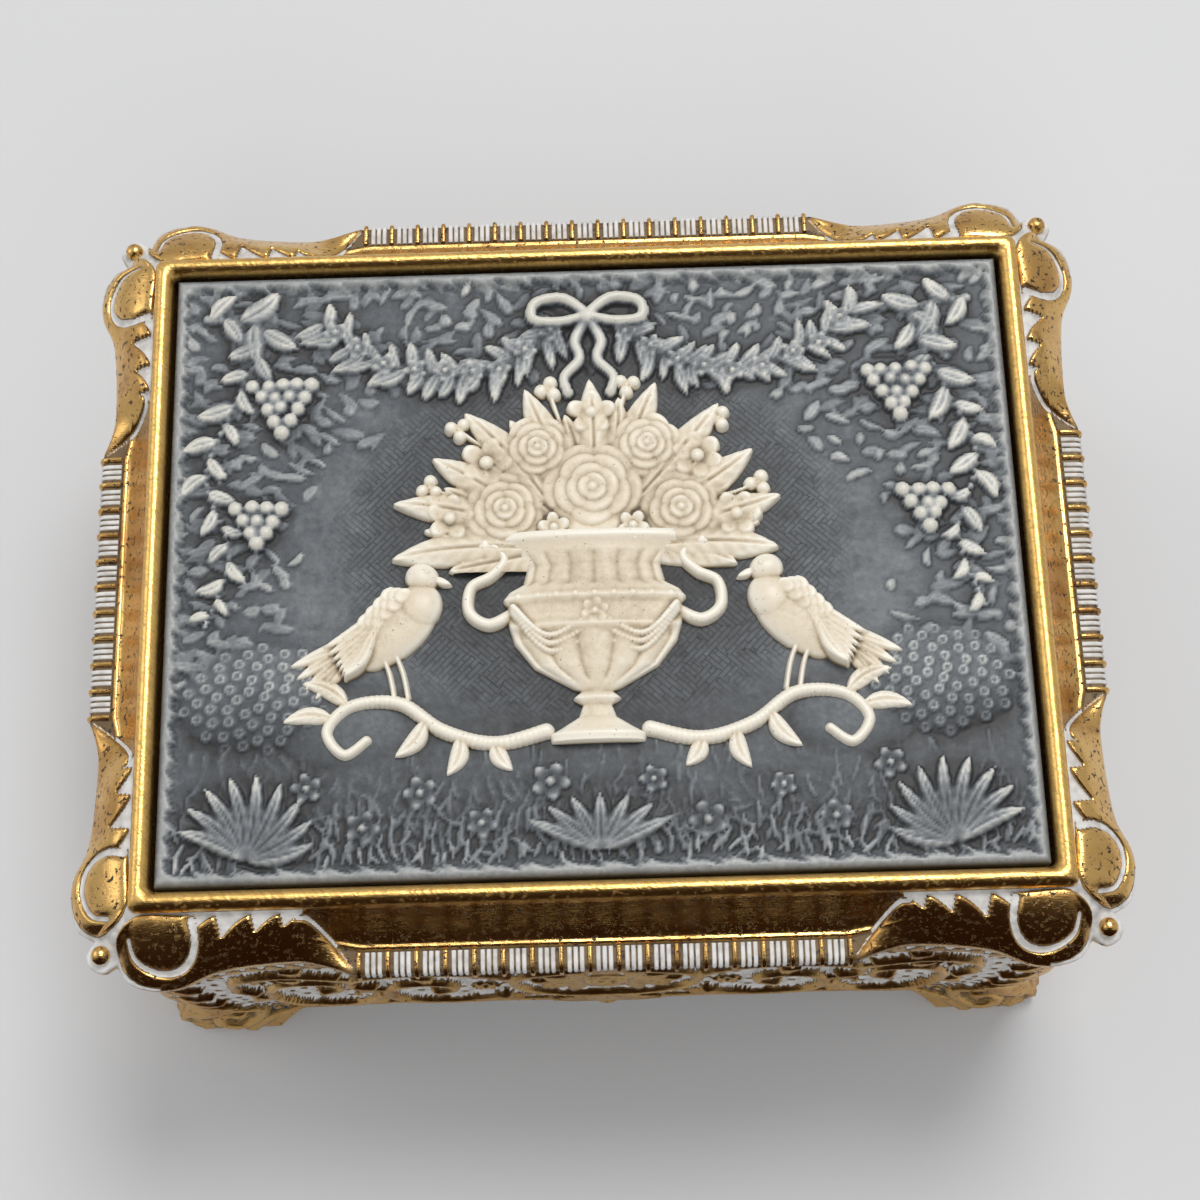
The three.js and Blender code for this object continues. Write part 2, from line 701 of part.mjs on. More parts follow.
// The forms on the plaque's right half, which the left half mirrors.
const carving = [
  urn,
  stem(handle.map(([x, y]) => [x, urnFoot + y]), stemRadius),
  leafFan([0, bouquetMiddle], bouquetReach, bouquetLeaves, -22, 202),
  knoll([0, 8.6], [5.6, 5.6], 2.3),
  knoll([6.6, 14.1], [4, 4], 2.1),
  knoll([10.5, 6], [4.5, 4.5], 2.2),
  knoll([12.7, 12.5], [3.2, 3.2], 1.8),
  knoll([17.1, 5.2], [3, 3], 1.8),
  knoll([0, 18.6], [3, 3], 1.8),
  knoll([24, -8.4], [6.2, 3.5], 1.9, -38), // dove's body, breast, head, wing and tail
  knoll([20.9, -5.6], [3.2, 2.7], 2, -60),
  knoll([20.4, -1.9], [2, 1.8], 1.8),
  knoll([26.6, -8.8], [6.4, 2.3], 1.85, -44),
  knoll([31, -12.6], [5.2, 2.4], 0.9, -42),
  stem(doveScroll, stemRadius),
  stem([[3, 30.6], [10, 25.8], [18, 24.4], [27, 27], [33, 31.4]], swagRadius),
  stem([[0, 31.8], [5.6, 33.4], [5.4, 31.2], [0, 31.8], [1.2, 27], [2.8, 22.4]], stemRadius),
  stem([[44, 32], [40.4, 29], [43, 22], [46, 12], [43.5, 2], [45.6, -6]], swagRadius),
  knoll([37.5, 20.9], [4, 4.2], 1.1),
  knoll([40, 5.4], [3.2, 3.4], 1.1),
  knoll([39.5, -16], [9.5, 7], 0.9),
  knoll([30, -21], [8, 5.5], 0.6),
  leafFan([40.5, -35.2], fanReach, fanLeaves, 0, 180),
  leafFan([0, -35], fanReach, fanLeaves, 0, 180),
  ...meadowFlowers.map((at) => knoll(at, [flowerRadius, flowerRadius], flowerRise)),
];

function carvedHeight(x, y) {
  const [innerX, innerY] = [plaqueWidth / 2 - plaqueMargin, plaqueDepth / 2 - plaqueMargin];
  if (Math.abs(x) > innerX || Math.abs(y) > innerY) return plaqueFace;
  const meadow = y < meadowTop ? meadowRise : 0;
  return groundZ + Math.max(meadow, ...carving.map((form) => form(Math.abs(x), y)));
}

// Grid lines along one side of the plaque, with the border's step between two close ones.
function gridLines(half) {
  const inner = half - plaqueMargin;
  const cells = Math.round((2 * inner) / reliefGrid);
  const lines = Array.from({ length: cells + 1 }, (_, i) => inner * ((2 * i) / cells - 1));
  return [-half, -inner - stepWidth, ...lines, inner + stepWidth, half];
}

function stonePlaque() {
  const [xs, ys] = [gridLines(plaqueWidth / 2), gridLines(plaqueDepth / 2)];
  const [columns, rows] = [xs.length, ys.length];
  const points = ys.flatMap((y) => xs.map((x) => new THREE.Vector3(x, y, carvedHeight(x, y))));
  const faces = [];
  for (let row = 0; row + 1 < rows; row++) {
    for (let column = 0; column + 1 < columns; column++) {
      const a = row * columns + column;
      faces.push(a, a + 1, a + columns + 1, a, a + columns + 1, a + columns);
    }
  }
  const border = [
    ...xs.keys(),
    ...Array.from({ length: rows - 1 }, (_, i) => (i + 2) * columns - 1),
    ...Array.from({ length: columns - 1 }, (_, i) => rows * columns - 2 - i),
    ...Array.from({ length: rows - 2 }, (_, i) => (rows - 2 - i) * columns),
  ];
  const first = points.length;
  border.forEach((at) => points.push(points[at].clone().setZ(ledgeTop + seatGap)));
  border.forEach((at, i) => {
    const j = (i + 1) % border.length;
    faces.push(at, first + i, first + j, at, first + j, border[j]);
  });
  const flat = border.map((at) => new THREE.Vector2(points[at].x, points[at].y));
  for (const [a, b, c] of THREE.ShapeUtils.triangulateShape(flat, [])) {
    faces.push(first + a, first + c, first + b);
  }
  const geometry = new THREE.BufferGeometry().setFromPoints(points);
  geometry.setIndex(faces);
  return solid(geometry);
}

function addLid(group) {
  add(group, "lid_frame", lidFrame(), gilt);
  add(group, "stone_plaque", stonePlaque(), stone);
  const lining = roundedSlab(
    footX + liningRecess - insertGap,
    footY + liningRecess - insertGap,
    beadCorner,
    ledgeBottom - seatGap - liningThickness,
    ledgeBottom - seatGap,
  );
  add(group, "lid_lining", lining, velvet);
}

// Case
function caseSkin() {
  // a ring at height z, where out is how far the plain wall stands out and scroll is the share
  // of the way from the plain wall to the scrolled outline of the rim
  const ring = (z, out, scroll = 0, radius = wallCornerRadius) =>
    ringOf((i) => {
      const p = partner(i, wallX + out, wallY + out, radius).lerp(quarter[i].point, scroll);
      return new THREE.Vector3(p.x, p.y, z);
    });
  return loft(
    [
      ring(0, footFlare * 0.75, 0, toeCornerRadius),
      ring(toeHeight, footFlare, 0, toeCornerRadius),
      ring(instepHeight, footFlare * 0.4, 0, toeCornerRadius),
      ring(ankleHeight, -ankleIn),
      ring(wallFoot, 0),
      ring(kneeHeight, kneeOut),
      ring(waistHeight, 0),
      ring(caseHeight - rimHeight, 0, rimSwell * 0.1),
      ring(caseHeight - rimHeight + rimStep, 0, rimSwell * 0.5),
      ring(caseHeight - rimHeight / 2, 0, rimSwell * 0.9),
      ring(caseHeight - rimStep, 0, rimSwell),
      ring(caseHeight, 0, rimSwell * 0.8),
    ],
    false,
  );
}

// The opening between two legs, with a pendant in the middle of the apron.
function archShape(half) {
  const inner = half + footFlare - legWidth;
  const level = inner - archShoulder;
  const rise = new THREE.SplineCurve([
    new THREE.Vector2(inner, 0),
    new THREE.Vector2(inner - 1.5, toeHeight * 2),
    new THREE.Vector2(inner - archShoulder / 2, apronHeight * 0.7),
    new THREE.Vector2(level, apronHeight * 0.97),
    new THREE.Vector2((level + pendantHalf) / 2, apronHeight),
    new THREE.Vector2(pendantHalf, apronHeight - pendantDrop * 0.3),
    new THREE.Vector2(pendantHalf / 2, apronHeight - pendantDrop * 0.85),
    new THREE.Vector2(0, apronHeight - pendantDrop),
  ]).getPoints(12);
  const left = rise.slice(0, -1).map((p) => new THREE.Vector2(-p.x, p.y)).reverse();
  const shape = new THREE.Shape();
  shape.moveTo(-inner, -past).lineTo(inner, -past);
  [...rise, ...left].forEach((p) => shape.lineTo(p.x, p.y));
  return shape;
}

function caseBody() {
  const corners = [-1, 1].flatMap((sx) => [-1, 1].map((sy) => [sx * bossX, sy * bossY, 0]));
  const bosses = corners.map((at) => rod("z", at, 0, caseHeight, bossRadius));
  const pilotTop = baseTop + screwPilotDepth;
  const pilots = corners.map((at) => rod("z", at, baseTop, pilotTop, screwRadius + shaftGap));
  const inner = cavityCornerRadius;
  const [holeX, holeY] = [cavityX - caseLedgeWidth, cavityY - caseLedgeWidth];
  const ledgeHole = roundedSlab(holeX, holeY, inner, baseTop, ledgeZ + past);
  const cuts = [
    roundedSlab(cavityX, cavityY, inner, -past, baseTop + seatGap),
    without(ledgeHole, bosses),
    roundedSlab(cavityX, cavityY, inner, ledgeZ, caseHeight + past),
    slabAlongY(archShape(wallX), -through, through),
    slabAlongX(archShape(wallY), -through, through),
  ];
  const shell = joined([without(caseSkin(), cuts), ...hingeKnuckles("case")]);
  return without(shell, [...pilots, ...knuckleRooms("lid"), hingeBore()]);
}

// A slotted screw with its head on z and its shank below, or the other way up.
function slottedScrew([x, y, z], length, shankRadius, headRadius, headHeight) {
  const end = headRadius + past;
  const cut = block([-end, -screwSlot / 2, headHeight / 2], [end, screwSlot / 2, headHeight + past]);
  const head = rod("z", [0, 0, 0], 0, headHeight, headRadius, headSides).subtract(cut);
  const shank = rod("z", [0, 0, 0], -length, headHeight / 4, shankRadius, shankSides);
  return head.add(shank).translate([x, y, z]);
}

const screwUp = ([x, y, z], length) =>
  slottedScrew([0, 0, 0], length, screwRadius, screwHeadRadius, screwHeadHeight)
    .rotate([180, 0, 0])
    .translate([x, y, z]);

const screwDown = (place, length) =>
  slottedScrew(place, length, screwRadius, screwHeadRadius, screwHeadHeight);

const smallScrew = (place, length) =>
  slottedScrew(place, length, smallScrewRadius, smallHeadRadius, smallHeadHeight);

const movementHoles = [
  [-bedWidth / 2 + holeInset, -bedLength / 2 + holeInset],
  [-bedWidth / 2 + holeInset, bedLength / 2 - holeInset],
  [bedWidth / 2 - holeInset, bedLength / 2 - holeInset - rearHoleIn],
];

function addCase(group) {
  add(group, "case_body", caseBody(), gilt);
  const pinHalf = hingeHalf - knuckleGap;
  const pin = rod("x", [0, hingeY, hingeZ], -pinHalf, pinHalf, hingePinRadius);
  add(group, "hinge_pin", pin, steel);
  const plate = without(
    roundedSlab(cavityX - insertGap, cavityY - insertGap, cavityCornerRadius, baseRecess, baseTop),
    [
      throughHole([bedX + cylinderFromMiddle, driveY], keyHubRadius + keyRoom),
      ...movementHoles.map(([x, y]) => throughHole([bedX + x, y], screwRadius + shaftGap)),
      ...[-1, 1].flatMap((sx) =>
        [-1, 1].map((sy) => throughHole([sx * bossX, sy * bossY], screwRadius + shaftGap)),
      ),
    ],
  );
  add(group, "base_plate", plate, steel);
  for (const [row, sy] of [["front", -1], ["rear", 1]]) {
    for (const [side, sx] of [["left", -1], ["right", 1]]) {
      const place = [sx * bossX, sy * bossY, baseRecess - seatGap];
      add(group, `base_screw_${row}_${side}`, screwUp(place, baseThickness + screwPilotDepth), steel);
    }
  }
  movementHoles.forEach(([x, y], i) => {
    const place = [bedX + x, y, baseRecess - seatGap];
    add(group, `movement_screw_${i + 1}`, screwUp(place, baseThickness + bedThickness), steel);
  });
}

// Velvet well, bay lining and clear cover
function addLinings(group) {
  const left = -cavityX + insertGap;
  const y = cavityY - insertGap;
  const z0 = ledgeZ + seatGap;
  const corner = cavityCornerRadius - insertGap;
  const wellOuter = slab(roundedRectangle(left, -y, left + wellWidth, y, corner), z0, wellTop);
  const wellInner = roundedRectangle(
    left + boardThickness,
    -y + boardThickness,
    left + wellWidth - boardThickness,
    y - boardThickness,
    corner - boardThickness,
  );
  add(group, "well_lining", wellOuter.subtract(slab(wellInner, z0 + boardThickness, wellTop + past)), velvet);
  const gap = boardThickness + insertGap;
  const padShape = roundedRectangle(
    left + gap,
    -y + gap,
    left + wellWidth - gap,
    y - gap,
    corner - boardThickness,
  );
  const padBottom = z0 + boardThickness + seatGap;
  add(group, "well_pad", slab(padShape, padBottom, padBottom + wellPadThickness), velvet);

  const coverBottom = coverTop - coverThickness;
  const bayOuter = slab(roundedRectangle(bayLeft, -y, bayRight, y, corner), z0, coverBottom - seatGap);
  const bayInner = roundedRectangle(
    bayLeft + boardThickness,
    -y + boardThickness,
    bayRight - boardThickness,
    y - boardThickness,
    corner - boardThickness,
  );
  add(group, "bay_lining", bayOuter.subtract(slab(bayInner, z0 - past, coverTop)), velvet);
  const cover = slab(roundedRectangle(bayLeft, -y, bayRight, y, corner), coverBottom, coverTop);
  const hole = throughHole([bedX + plungerX, wormY], plungerHoleRadius);
  add(group, "clear_cover", cover.subtract(hole), clear);
}

// Teeth are short and slim for free running: heights in modules, half widths in tooth pitches.
const addendum = 0.75;
const dedendum = 1.15;
const rootHalf = 0.26;
const tipHalf = 0.09;

// A gear's outline, the first tooth centred on the start angle. Fine teeth come to a point.
function gearShape(teeth, module, start, bore) {
  const pitch = (teeth * module) / 2;
  const tip = pitch + addendum * module;
  const root = pitch - dedendum * module;
  const step = (2 * Math.PI) / teeth;
  const shape = new THREE.Shape();
  const corner = (i, share, radius) => {
    const turn = start + (i + share) * step;
    return [radius * Math.cos(turn), radius * Math.sin(turn)];
  };
  const crest = module > fineModule ? [-tipHalf, tipHalf] : [0];
  for (let i = 0; i < teeth; i++) {
    const points = [
      corner(i, -rootHalf, root),
      ...crest.map((share) => corner(i, share, tip)),
      corner(i, rootHalf, root),
    ];
    points.forEach(([x, y], k) => (i + k ? shape.lineTo(x, y) : shape.moveTo(x, y)));
  }
  if (bore) {
    shape.holes.push(new THREE.Path().absarc(0, 0, bore, 0, 2 * Math.PI, true));
  }
  return shape;
}

// A gear that turns about Y, centred on (x, z).
const gearAlongY = (teeth, module, start, bore, x, z, y0, y1) =>
  slabAlongY(gearShape(teeth, module, start, bore), y0, y1).translate([x, 0, z]);

// Drive: winding arbor, ratchet and crown gear turn about Z.
const discTop = crownPitchZ - dedendum * driveModule - discDrop;
const ratchetBottom = discTop + shaftGap;

function crownGear() {
  const step = (2 * Math.PI) / driveTeeth;
  const inner = drivePitchRadius - driveFace / 2;
  const outer = drivePitchRadius + driveFace / 2;
  const bottom = bedThickness + driveLift;
  const root = crownPitchZ - dedendum * driveModule;
  const tip = crownPitchZ + addendum * driveModule;
  const sections = [];
  for (let i = 0; i < driveTeeth; i++) {
    const tooth = [
      [-rootHalf, root],
      [-tipHalf, tip],
      [tipHalf, tip],
      [rootHalf, root],
    ];
    for (const [share, z] of tooth) {
      const turn = Math.PI / 2 + (i + 0.5 + share) * step;
      const at = (radius, height) =>
        new THREE.Vector3(radius * Math.cos(turn), radius * Math.sin(turn), height);
      sections.push([at(inner, bottom), at(outer, bottom), at(outer, z), at(inner, z)].reverse());
    }
  }
  const ring = loft(sections, true);
  const disc = rod("z", [0, 0, 0], bottom, discTop, inner + discLap);
  const bore = throughHole([0, 0], arborRadius + shaftGap);
  return ring.add(disc).subtract(bore).translate([cylinderFromMiddle, driveY, 0]);
}

function ratchetWheel() {
  const shape = new THREE.Shape();
  for (let i = 0; i < ratchetTeeth; i++) {
    const turn = (2 * Math.PI * i) / ratchetTeeth;
    const low = ratchetRadius - ratchetDepth;
    shape[i ? "lineTo" : "moveTo"](low * Math.cos(turn), low * Math.sin(turn));
    shape.lineTo(ratchetRadius * Math.cos(turn), ratchetRadius * Math.sin(turn));
  }
  shape.holes.push(new THREE.Path().absarc(0, 0, arborRadius + shaftGap, 0, 2 * Math.PI, true));
  const wheel = slab(shape, ratchetBottom, ratchetBottom + ratchetThickness, 10);
  return wheel.translate([cylinderFromMiddle, driveY, 0]);
}

// The click lies beside the ratchet on the crown gear.
function ratchetClick() {
  const reach = ratchetRadius + sweepGap;
  const shape = new THREE.Shape();
  const outline = [[0, -0.8], [0.9, -1], [1, 0.6], [0.4, 0.9], [0, 0.25]]; // in click sizes
  outline.forEach(([x, y], i) => {
    shape[i ? "lineTo" : "moveTo"](reach + x * clickSize, y * clickSize);
  });
  const click = slab(shape, ratchetBottom, ratchetBottom + ratchetThickness);
  return click.translate([cylinderFromMiddle, driveY, 0]);
}

const springBottom = housingZ + housingDisc + springClear;
const keyTop = -bedZ + baseRecess - keyRoom;
const keyBottom = -bedZ + keyClear;

function windingArbor() {
  const place = [cylinderFromMiddle, driveY, 0];
  const top = housingZ + housingHeight;
  return joined([
    rod("z", place, keyTop - keySocket, springBottom + past, arborRadius),
    rod("z", place, springBottom, springBottom + springHeight, hubRadius),
    rod("z", place, springBottom + springHeight - past, top, arborTipRadius),
  ]);
}

function windingKey() {
  const x = cylinderFromMiddle;
  const wing = new THREE.Shape();
  const round = keyHeight / 2;
  wing.moveTo(-keyWing + round, -round).lineTo(keyWing - round, -round);
  wing.absarc(keyWing - round, 0, round, -Math.PI / 2, Math.PI / 2);
  wing.absarc(-keyWing + round, 0, round, Math.PI / 2, 1.5 * Math.PI);
  for (const side of [-1, 1]) {
    const eye = new THREE.Path().absarc(side * (keyWing - round), 0, keyEyeRadius, 0, 2 * Math.PI, true);
    wing.holes.push(eye);
  }
  const blade = slabAlongX(wing, x - keyBlade / 2, x + keyBlade / 2, 8);
  const hub = rod("z", [x, driveY, 0], keyBottom + keyHubLift, keyTop, keyHubRadius);
  const socket = keyTop - keySocket - insertGap;
  const bore = rod("z", [x, driveY, 0], socket, keyTop + past, arborRadius + shaftGap);
  return blade
    .translate([0, driveY, keyBottom + round])
    .add(hub)
    .subtract(bore);
}

// Mainspring: a flat strip wound out from the arbor's hub to the housing's wall.
function mainspring() {
  const inner = hubRadius + insertGap + seatGap;
  const outer = housingRadius - housingWall - insertGap - springStrip;
  const steps = springTurns * springSteps;
  const at = (i, extra) => {
    const radius = THREE.MathUtils.lerp(inner, outer, i / steps) + extra;
    const turn = (i / springSteps) * 2 * Math.PI;
    return new THREE.Vector2(radius * Math.cos(turn), radius * Math.sin(turn));
  };
  const shape = new THREE.Shape();
  for (let i = 0; i <= steps; i++) {
    const p = at(i, 0);
    shape[i ? "lineTo" : "moveTo"](p.x, p.y);
  }
  for (let i = steps; i >= 0; i--) {
    const p = at(i, springStrip);
    shape.lineTo(p.x, p.y);
  }
  return slab(shape, springBottom, springBottom + springHeight).translate([cylinderFromMiddle, driveY, 0]);
}

// The fixed cup over the spring stands on three pillars outside the crown gear.
const pillarReach = drivePitchRadius + driveFace / 2 + sweepGap + pillarRadius;
const pillarTurns = [-44, 150, 224];
const pillarTop = housingZ + housingArm;

const pillars = pillarTurns.map((degrees) => {
  const turn = THREE.MathUtils.degToRad(degrees);
  return [cylinderFromMiddle + pillarReach * Math.cos(turn), driveY + pillarReach * Math.sin(turn)];
});

function springHousing() {
  const x = cylinderFromMiddle;
  const top = housingZ + housingHeight;
  const cup = rod("z", [x, driveY, 0], housingZ, top, housingRadius);
  const hollow = rod("z", [x, driveY, 0], 0, top - housingWall, housingRadius - housingWall);
  const arms = pillarTurns.map((degrees) =>
    block([0, -armHalf, housingZ + seatGap], [pillarReach, armHalf, pillarTop - seatGap])
      .rotate([0, 0, degrees])
      .translate([x, driveY, 0]),
  );
  const postBottom = bedThickness + seatGap;
  const posts = pillars.map((at) => rod("z", [...at, 0], postBottom, pillarTop, pillarRadius));
  const pilots = pillars.map((at) => throughHole(at, smallScrewRadius + shaftGap));
  const pivot = throughHole([x, driveY], arborTipRadius + shaftGap);
  const side = rod("y", [x, 0, arborHeight], driveY, wheelY, cylinderArborRadius + shaftGap);
  return without(joined([cup, ...arms, ...posts]), [hollow, pivot, side, ...pilots]);
}

function housingFloor() {
  const place = [cylinderFromMiddle, driveY, 0];
  const radius = housingRadius - housingWall - insertGap;
  const bottom = housingZ + floorLift;
  const disc = rod("z", place, bottom, bottom + housingDisc, radius);
  return disc.subtract(rod("z", place, 0, springBottom, hubRadius + insertGap));
}

// Cylinder, its pins in one track to a note, and the wheels on its arbor
function pinnedCylinder() {
  const barrel = rod("y", [0, 0, 0], cylinderY, cylinderY + cylinderLength, cylinderRadius);
  const pitch = cylinderLength / (notes + 1);
  const pins = [];
  for (let note = 0; note < notes; note++) {
    for (let k = 0; k < pinsPerNote; k++) {
      // spread without order, like a tune
      const tune = note * tuneStep + k / pinsPerNote + tuneSway * Math.sin(note * 2.3 + k * 4.1);
      const turn = 360 * (tune % 1);
      const pin = new THREE.CylinderGeometry(pinSize, pinSize, pinOut + pinRoot, 4);
      pin.translate(0, cylinderRadius + (pinOut - pinRoot) / 2, 0).rotateX(Math.PI / 2);
      pins.push(solid(pin).rotate([0, turn, 0]).translate([0, cylinderY + pitch * (note + 1), 0]));
    }
  }
  const bore = rod("y", [0, 0, 0], -through, through, cylinderArborRadius + shaftGap);
  return barrel
    .add(wasm.Manifold.union(pins))
    .subtract(bore)
    .translate([cylinderFromMiddle, 0, arborHeight]);
}

// Comb: the tips line up along the cylinder and the slits get shorter towards the high notes.
function comb() {
  const tip = cylinderFromMiddle - cylinderRadius - pinOut - sweepGap;
  const pitch = cylinderLength / (notes + 1);
  const first = cylinderY + pitch;
  const shape = new THREE.Shape();
  const back = tip - longTine - combBed;
  const root = (i) => tip - THREE.MathUtils.lerp(longTine, shortTine, i / (notes - 1));
  shape.moveTo(back, first - pitch);
  for (let i = 0; i < notes; i++) {
    const y = first + i * pitch;
    shape.lineTo(root(i), y - tineWidth / 2).lineTo(tip, y - tineWidth / 2);
    shape.lineTo(tip, y + tineWidth / 2).lineTo(root(i), y + tineWidth / 2);
  }
  shape.lineTo(back, first + notes * pitch);
  const tines = slab(shape, arborHeight - tineThickness / 2, arborHeight + tineThickness / 2);
  const bed = block(
    [back, first - pitch, arborHeight - combThickness / 2],
    [back + combBed, first + notes * pitch, arborHeight + combThickness / 2],
  );
  const holes = combScrews().map((at) => throughHole(at, screwRadius + shaftGap));
  return without(tines.add(bed), holes);
}

function combScrews() {
  const x = cylinderFromMiddle - cylinderRadius - pinOut - sweepGap - longTine - combBed / 2;
  const middle = cylinderY + cylinderLength / 2;
  return [-1, 1].map((side) => [x, middle + side * combScrewShare * cylinderLength]);
}

function bedPlate() {
  const x = bedWidth / 2;
  const y = bedLength / 2;
  const plate = slab(roundedRectangle(-x, -y, x, y, bedCornerRadius), 0, bedThickness);
  const [combX] = combScrews()[0];
  const underComb = arborHeight - combThickness / 2 - seatGap;
  const stand = block(
    [combX - combBed / 2, cylinderY, bedThickness - sunk],
    [combX + combBed / 2 - standIn, cylinderY + cylinderLength, underComb],
  );
  const cuts = [
    throughHole([cylinderFromMiddle, driveY], arborRadius + shaftGap),
    ...movementHoles.map((at) => throughHole(at, screwRadius + shaftGap)),
    ...combScrews().map((at) =>
      rod("z", [...at, 0], underComb - combScrewDepth - past, through, screwRadius + shaftGap),
    ),
    ...[...pillars, governorScrew, stopScrew].map((at) => throughHole(at, smallScrewRadius + shaftGap)),
  ];
  return without(plate.add(stand), cuts);
}

// Governor: frame, pinion and worm wheel on one arbor, then the worm with its fan
const governorScrew = [
  cylinderFromMiddle + governorScrewOut,
  frameY + frameThickness + insertGap + smallHeadRadius,
];

function governorFrame() {
  const corner = [wormX - frameSide, frameY, bedThickness + seatGap];
  const right = cylinderFromMiddle + frameEnd;
  const foot = block(corner, [right, frameY + frameDepth, bedThickness + frameFoot]);
  const plate = block(corner, [right, frameY + frameThickness, pinionZ + frameRise]);
  const outerPlate = block(
    [pinionX - bearingHalf, wormWheelY + fineFace + bearingGap, bedThickness + sunk],
    [pinionX + bearingHalf, frameY + frameDepth, pinionZ + bearingHalf],
  );
  const armTop = fanZ - fanGap;
  const lowerArmTop = bedThickness + sunk + armThickness;
  const upperArmBottom = armTop - topArmThickness;
  const post = block(corner, [wormX + armSide, frameY + frameThickness, armTop]);
  const arm = (z0, z1) =>
    block([wormX - armSide, frameY, z0], [wormX + armReach, wormY + armReach, z1]);
  const arms = [arm(bedThickness + sunk, lowerArmTop), arm(upperArmBottom, armTop)];
  const plateEnd = frameY + frameThickness + past;
  const cylinderBore = cylinderArborRadius + shaftGap;
  return without(joined([foot, plate, outerPlate, post, ...arms]), [
    rod("y", [cylinderFromMiddle, 0, arborHeight], frameY - past, plateEnd, cylinderBore),
    rod("y", [pinionX, 0, pinionZ], -through, through, governorArborRadius + shaftGap),
    rod("z", [wormX, wormY, 0], bedThickness + shaftSeat, through, wormShaftRadius + shaftGap),
    rod("z", [wormX, wormY, 0], lowerArmTop, upperArmBottom, wormRadius + wormRoom),
    rod("z", [...governorScrew, 0], 0, bedThickness + frameFoot + past, smallScrewRadius + shaftGap),
  ]);
}

function worm() {
  const pitch = Math.PI * fineModule;
  const steps = wormTurns * wormSteps;
  const root = wormRadius - threadDepth;
  const foot = root - threadFoot;
  const tip = wormRadius + threadOut;
  const sections = [];
  for (let i = 0; i <= steps; i++) {
    const turn = (i / wormSteps) * 2 * Math.PI;
    // with an odd number of turns a space faces the wheel's tooth at the start
    const z = pinionZ + pitch * (i / wormSteps - wormTurns / 2);
    const at = (radius, dz) => new THREE.Vector3(radius * Math.cos(turn), radius * Math.sin(turn), z + dz);
    sections.push([at(foot, -threadFoot), at(tip, -threadCrest), at(tip, threadCrest), at(foot, threadFoot)]);
  }
  const thread = coiled(sections);
  const coreHalf = (pitch * (wormTurns + 1)) / 2;
  const core = rod("z", [0, 0, 0], pinionZ - coreHalf, pinionZ + coreHalf, root, wireSides);
  const shaftFoot = bedThickness + shaftSeat + seatGap;
  const shaft = rod("z", [0, 0, 0], shaftFoot, fanZ + fanHeight, wormShaftRadius, wireSides);
  return joined([core, thread, shaft]).translate([wormX, wormY, 0]);
}

// A strip of equal four-cornered sections with its two ends closed.
function coiled(sections) {
  const points = sections.flat();
  const faces = [];
  for (let k = 0; k + 1 < sections.length; k++) {
    for (let i = 0; i < 4; i++) {
      const a = k * 4 + i;
      const b = k * 4 + ((i + 1) % 4);
      faces.push(a, b + 4, b, a, a + 4, b + 4);
    }
  }
  const last = (sections.length - 1) * 4;
  faces.push(0, 1, 2, 0, 2, 3, last, last + 2, last + 1, last, last + 3, last + 2);
  const geometry = new THREE.BufferGeometry().setFromPoints(points);
  geometry.setIndex(faces);
  return solid(geometry);
}

function governorFan() {
  const hub = rod("z", [wormX, wormY, 0], fanZ, fanZ + fanHeight + fanHubRise, fanHubRadius);
  const wings = block(
    [wormX - fanRadius, wormY - fanThickness / 2, fanZ + bladeLift],
    [wormX + fanRadius, wormY + fanThickness / 2, fanZ + fanHeight],
  );
  const boreTop = fanZ + fanHeight + seatGap;
  const bore = rod("z", [wormX, wormY, 0], 0, boreTop, wormShaftRadius + shaftGap);
  return hub.add(wings).subtract(bore);
}

// Stop: the closed lid holds the plunger down, and the lever then bears on the fan.
const leafY = wormY + leafShift;
const leafSpan = [leafY - leafWidth / 2, leafY + leafWidth / 2];
const stopScrew = [pivotX, leafY];

function stopBracket() {
  const y1 = wormY - leverWidth / 2 - sweepGap;
  const y0 = y1 - bracketThickness;
  const z0 = bedThickness + seatGap;
  const footTop = bedThickness + bracketFoot;
  const shape = new THREE.Shape();
  shape.moveTo(y0, z0).lineTo(leafSpan[1], z0).lineTo(leafSpan[1], footTop).lineTo(y1, footTop);
  shape.lineTo(y1, leverZ + bracketRise).lineTo(y0, leverZ + bracketRise);
  return without(slabAlongX(shape, pivotX - bracketHalf, pivotX + bracketHalf), [
    rod("y", [pivotX, 0, leverZ + leverThickness / 2], -through, through, pivotRadius + shaftGap),
    throughHole(stopScrew, smallScrewRadius + shaftGap),
  ]);
}

function stopLever() {
  const pivotAt = [pivotX, 0, leverZ + leverThickness / 2];
  const y = [wormY - leverWidth / 2, wormY + leverWidth / 2];
  const bar = block([pivotX, y[0], leverZ], [plungerX + leverTail, y[1], leverZ + leverThickness]);
  const eye = rod("y", pivotAt, y[0], y[1], leverEyeRadius);
  const bore = rod("y", pivotAt, -through, through, pivotRadius + shaftGap);
  return bar.add(eye).subtract(bore);
}

function stopPlunger() {
  const place = [plungerX, wormY, 0];
  const bottom = leverZ + leverThickness + seatGap;
  const collar = rod("z", place, bottom, bottom + collarHeight, collarRadius);
  return collar.add(rod("z", place, bottom, plungerTop - bedZ, plungerRadius));
}

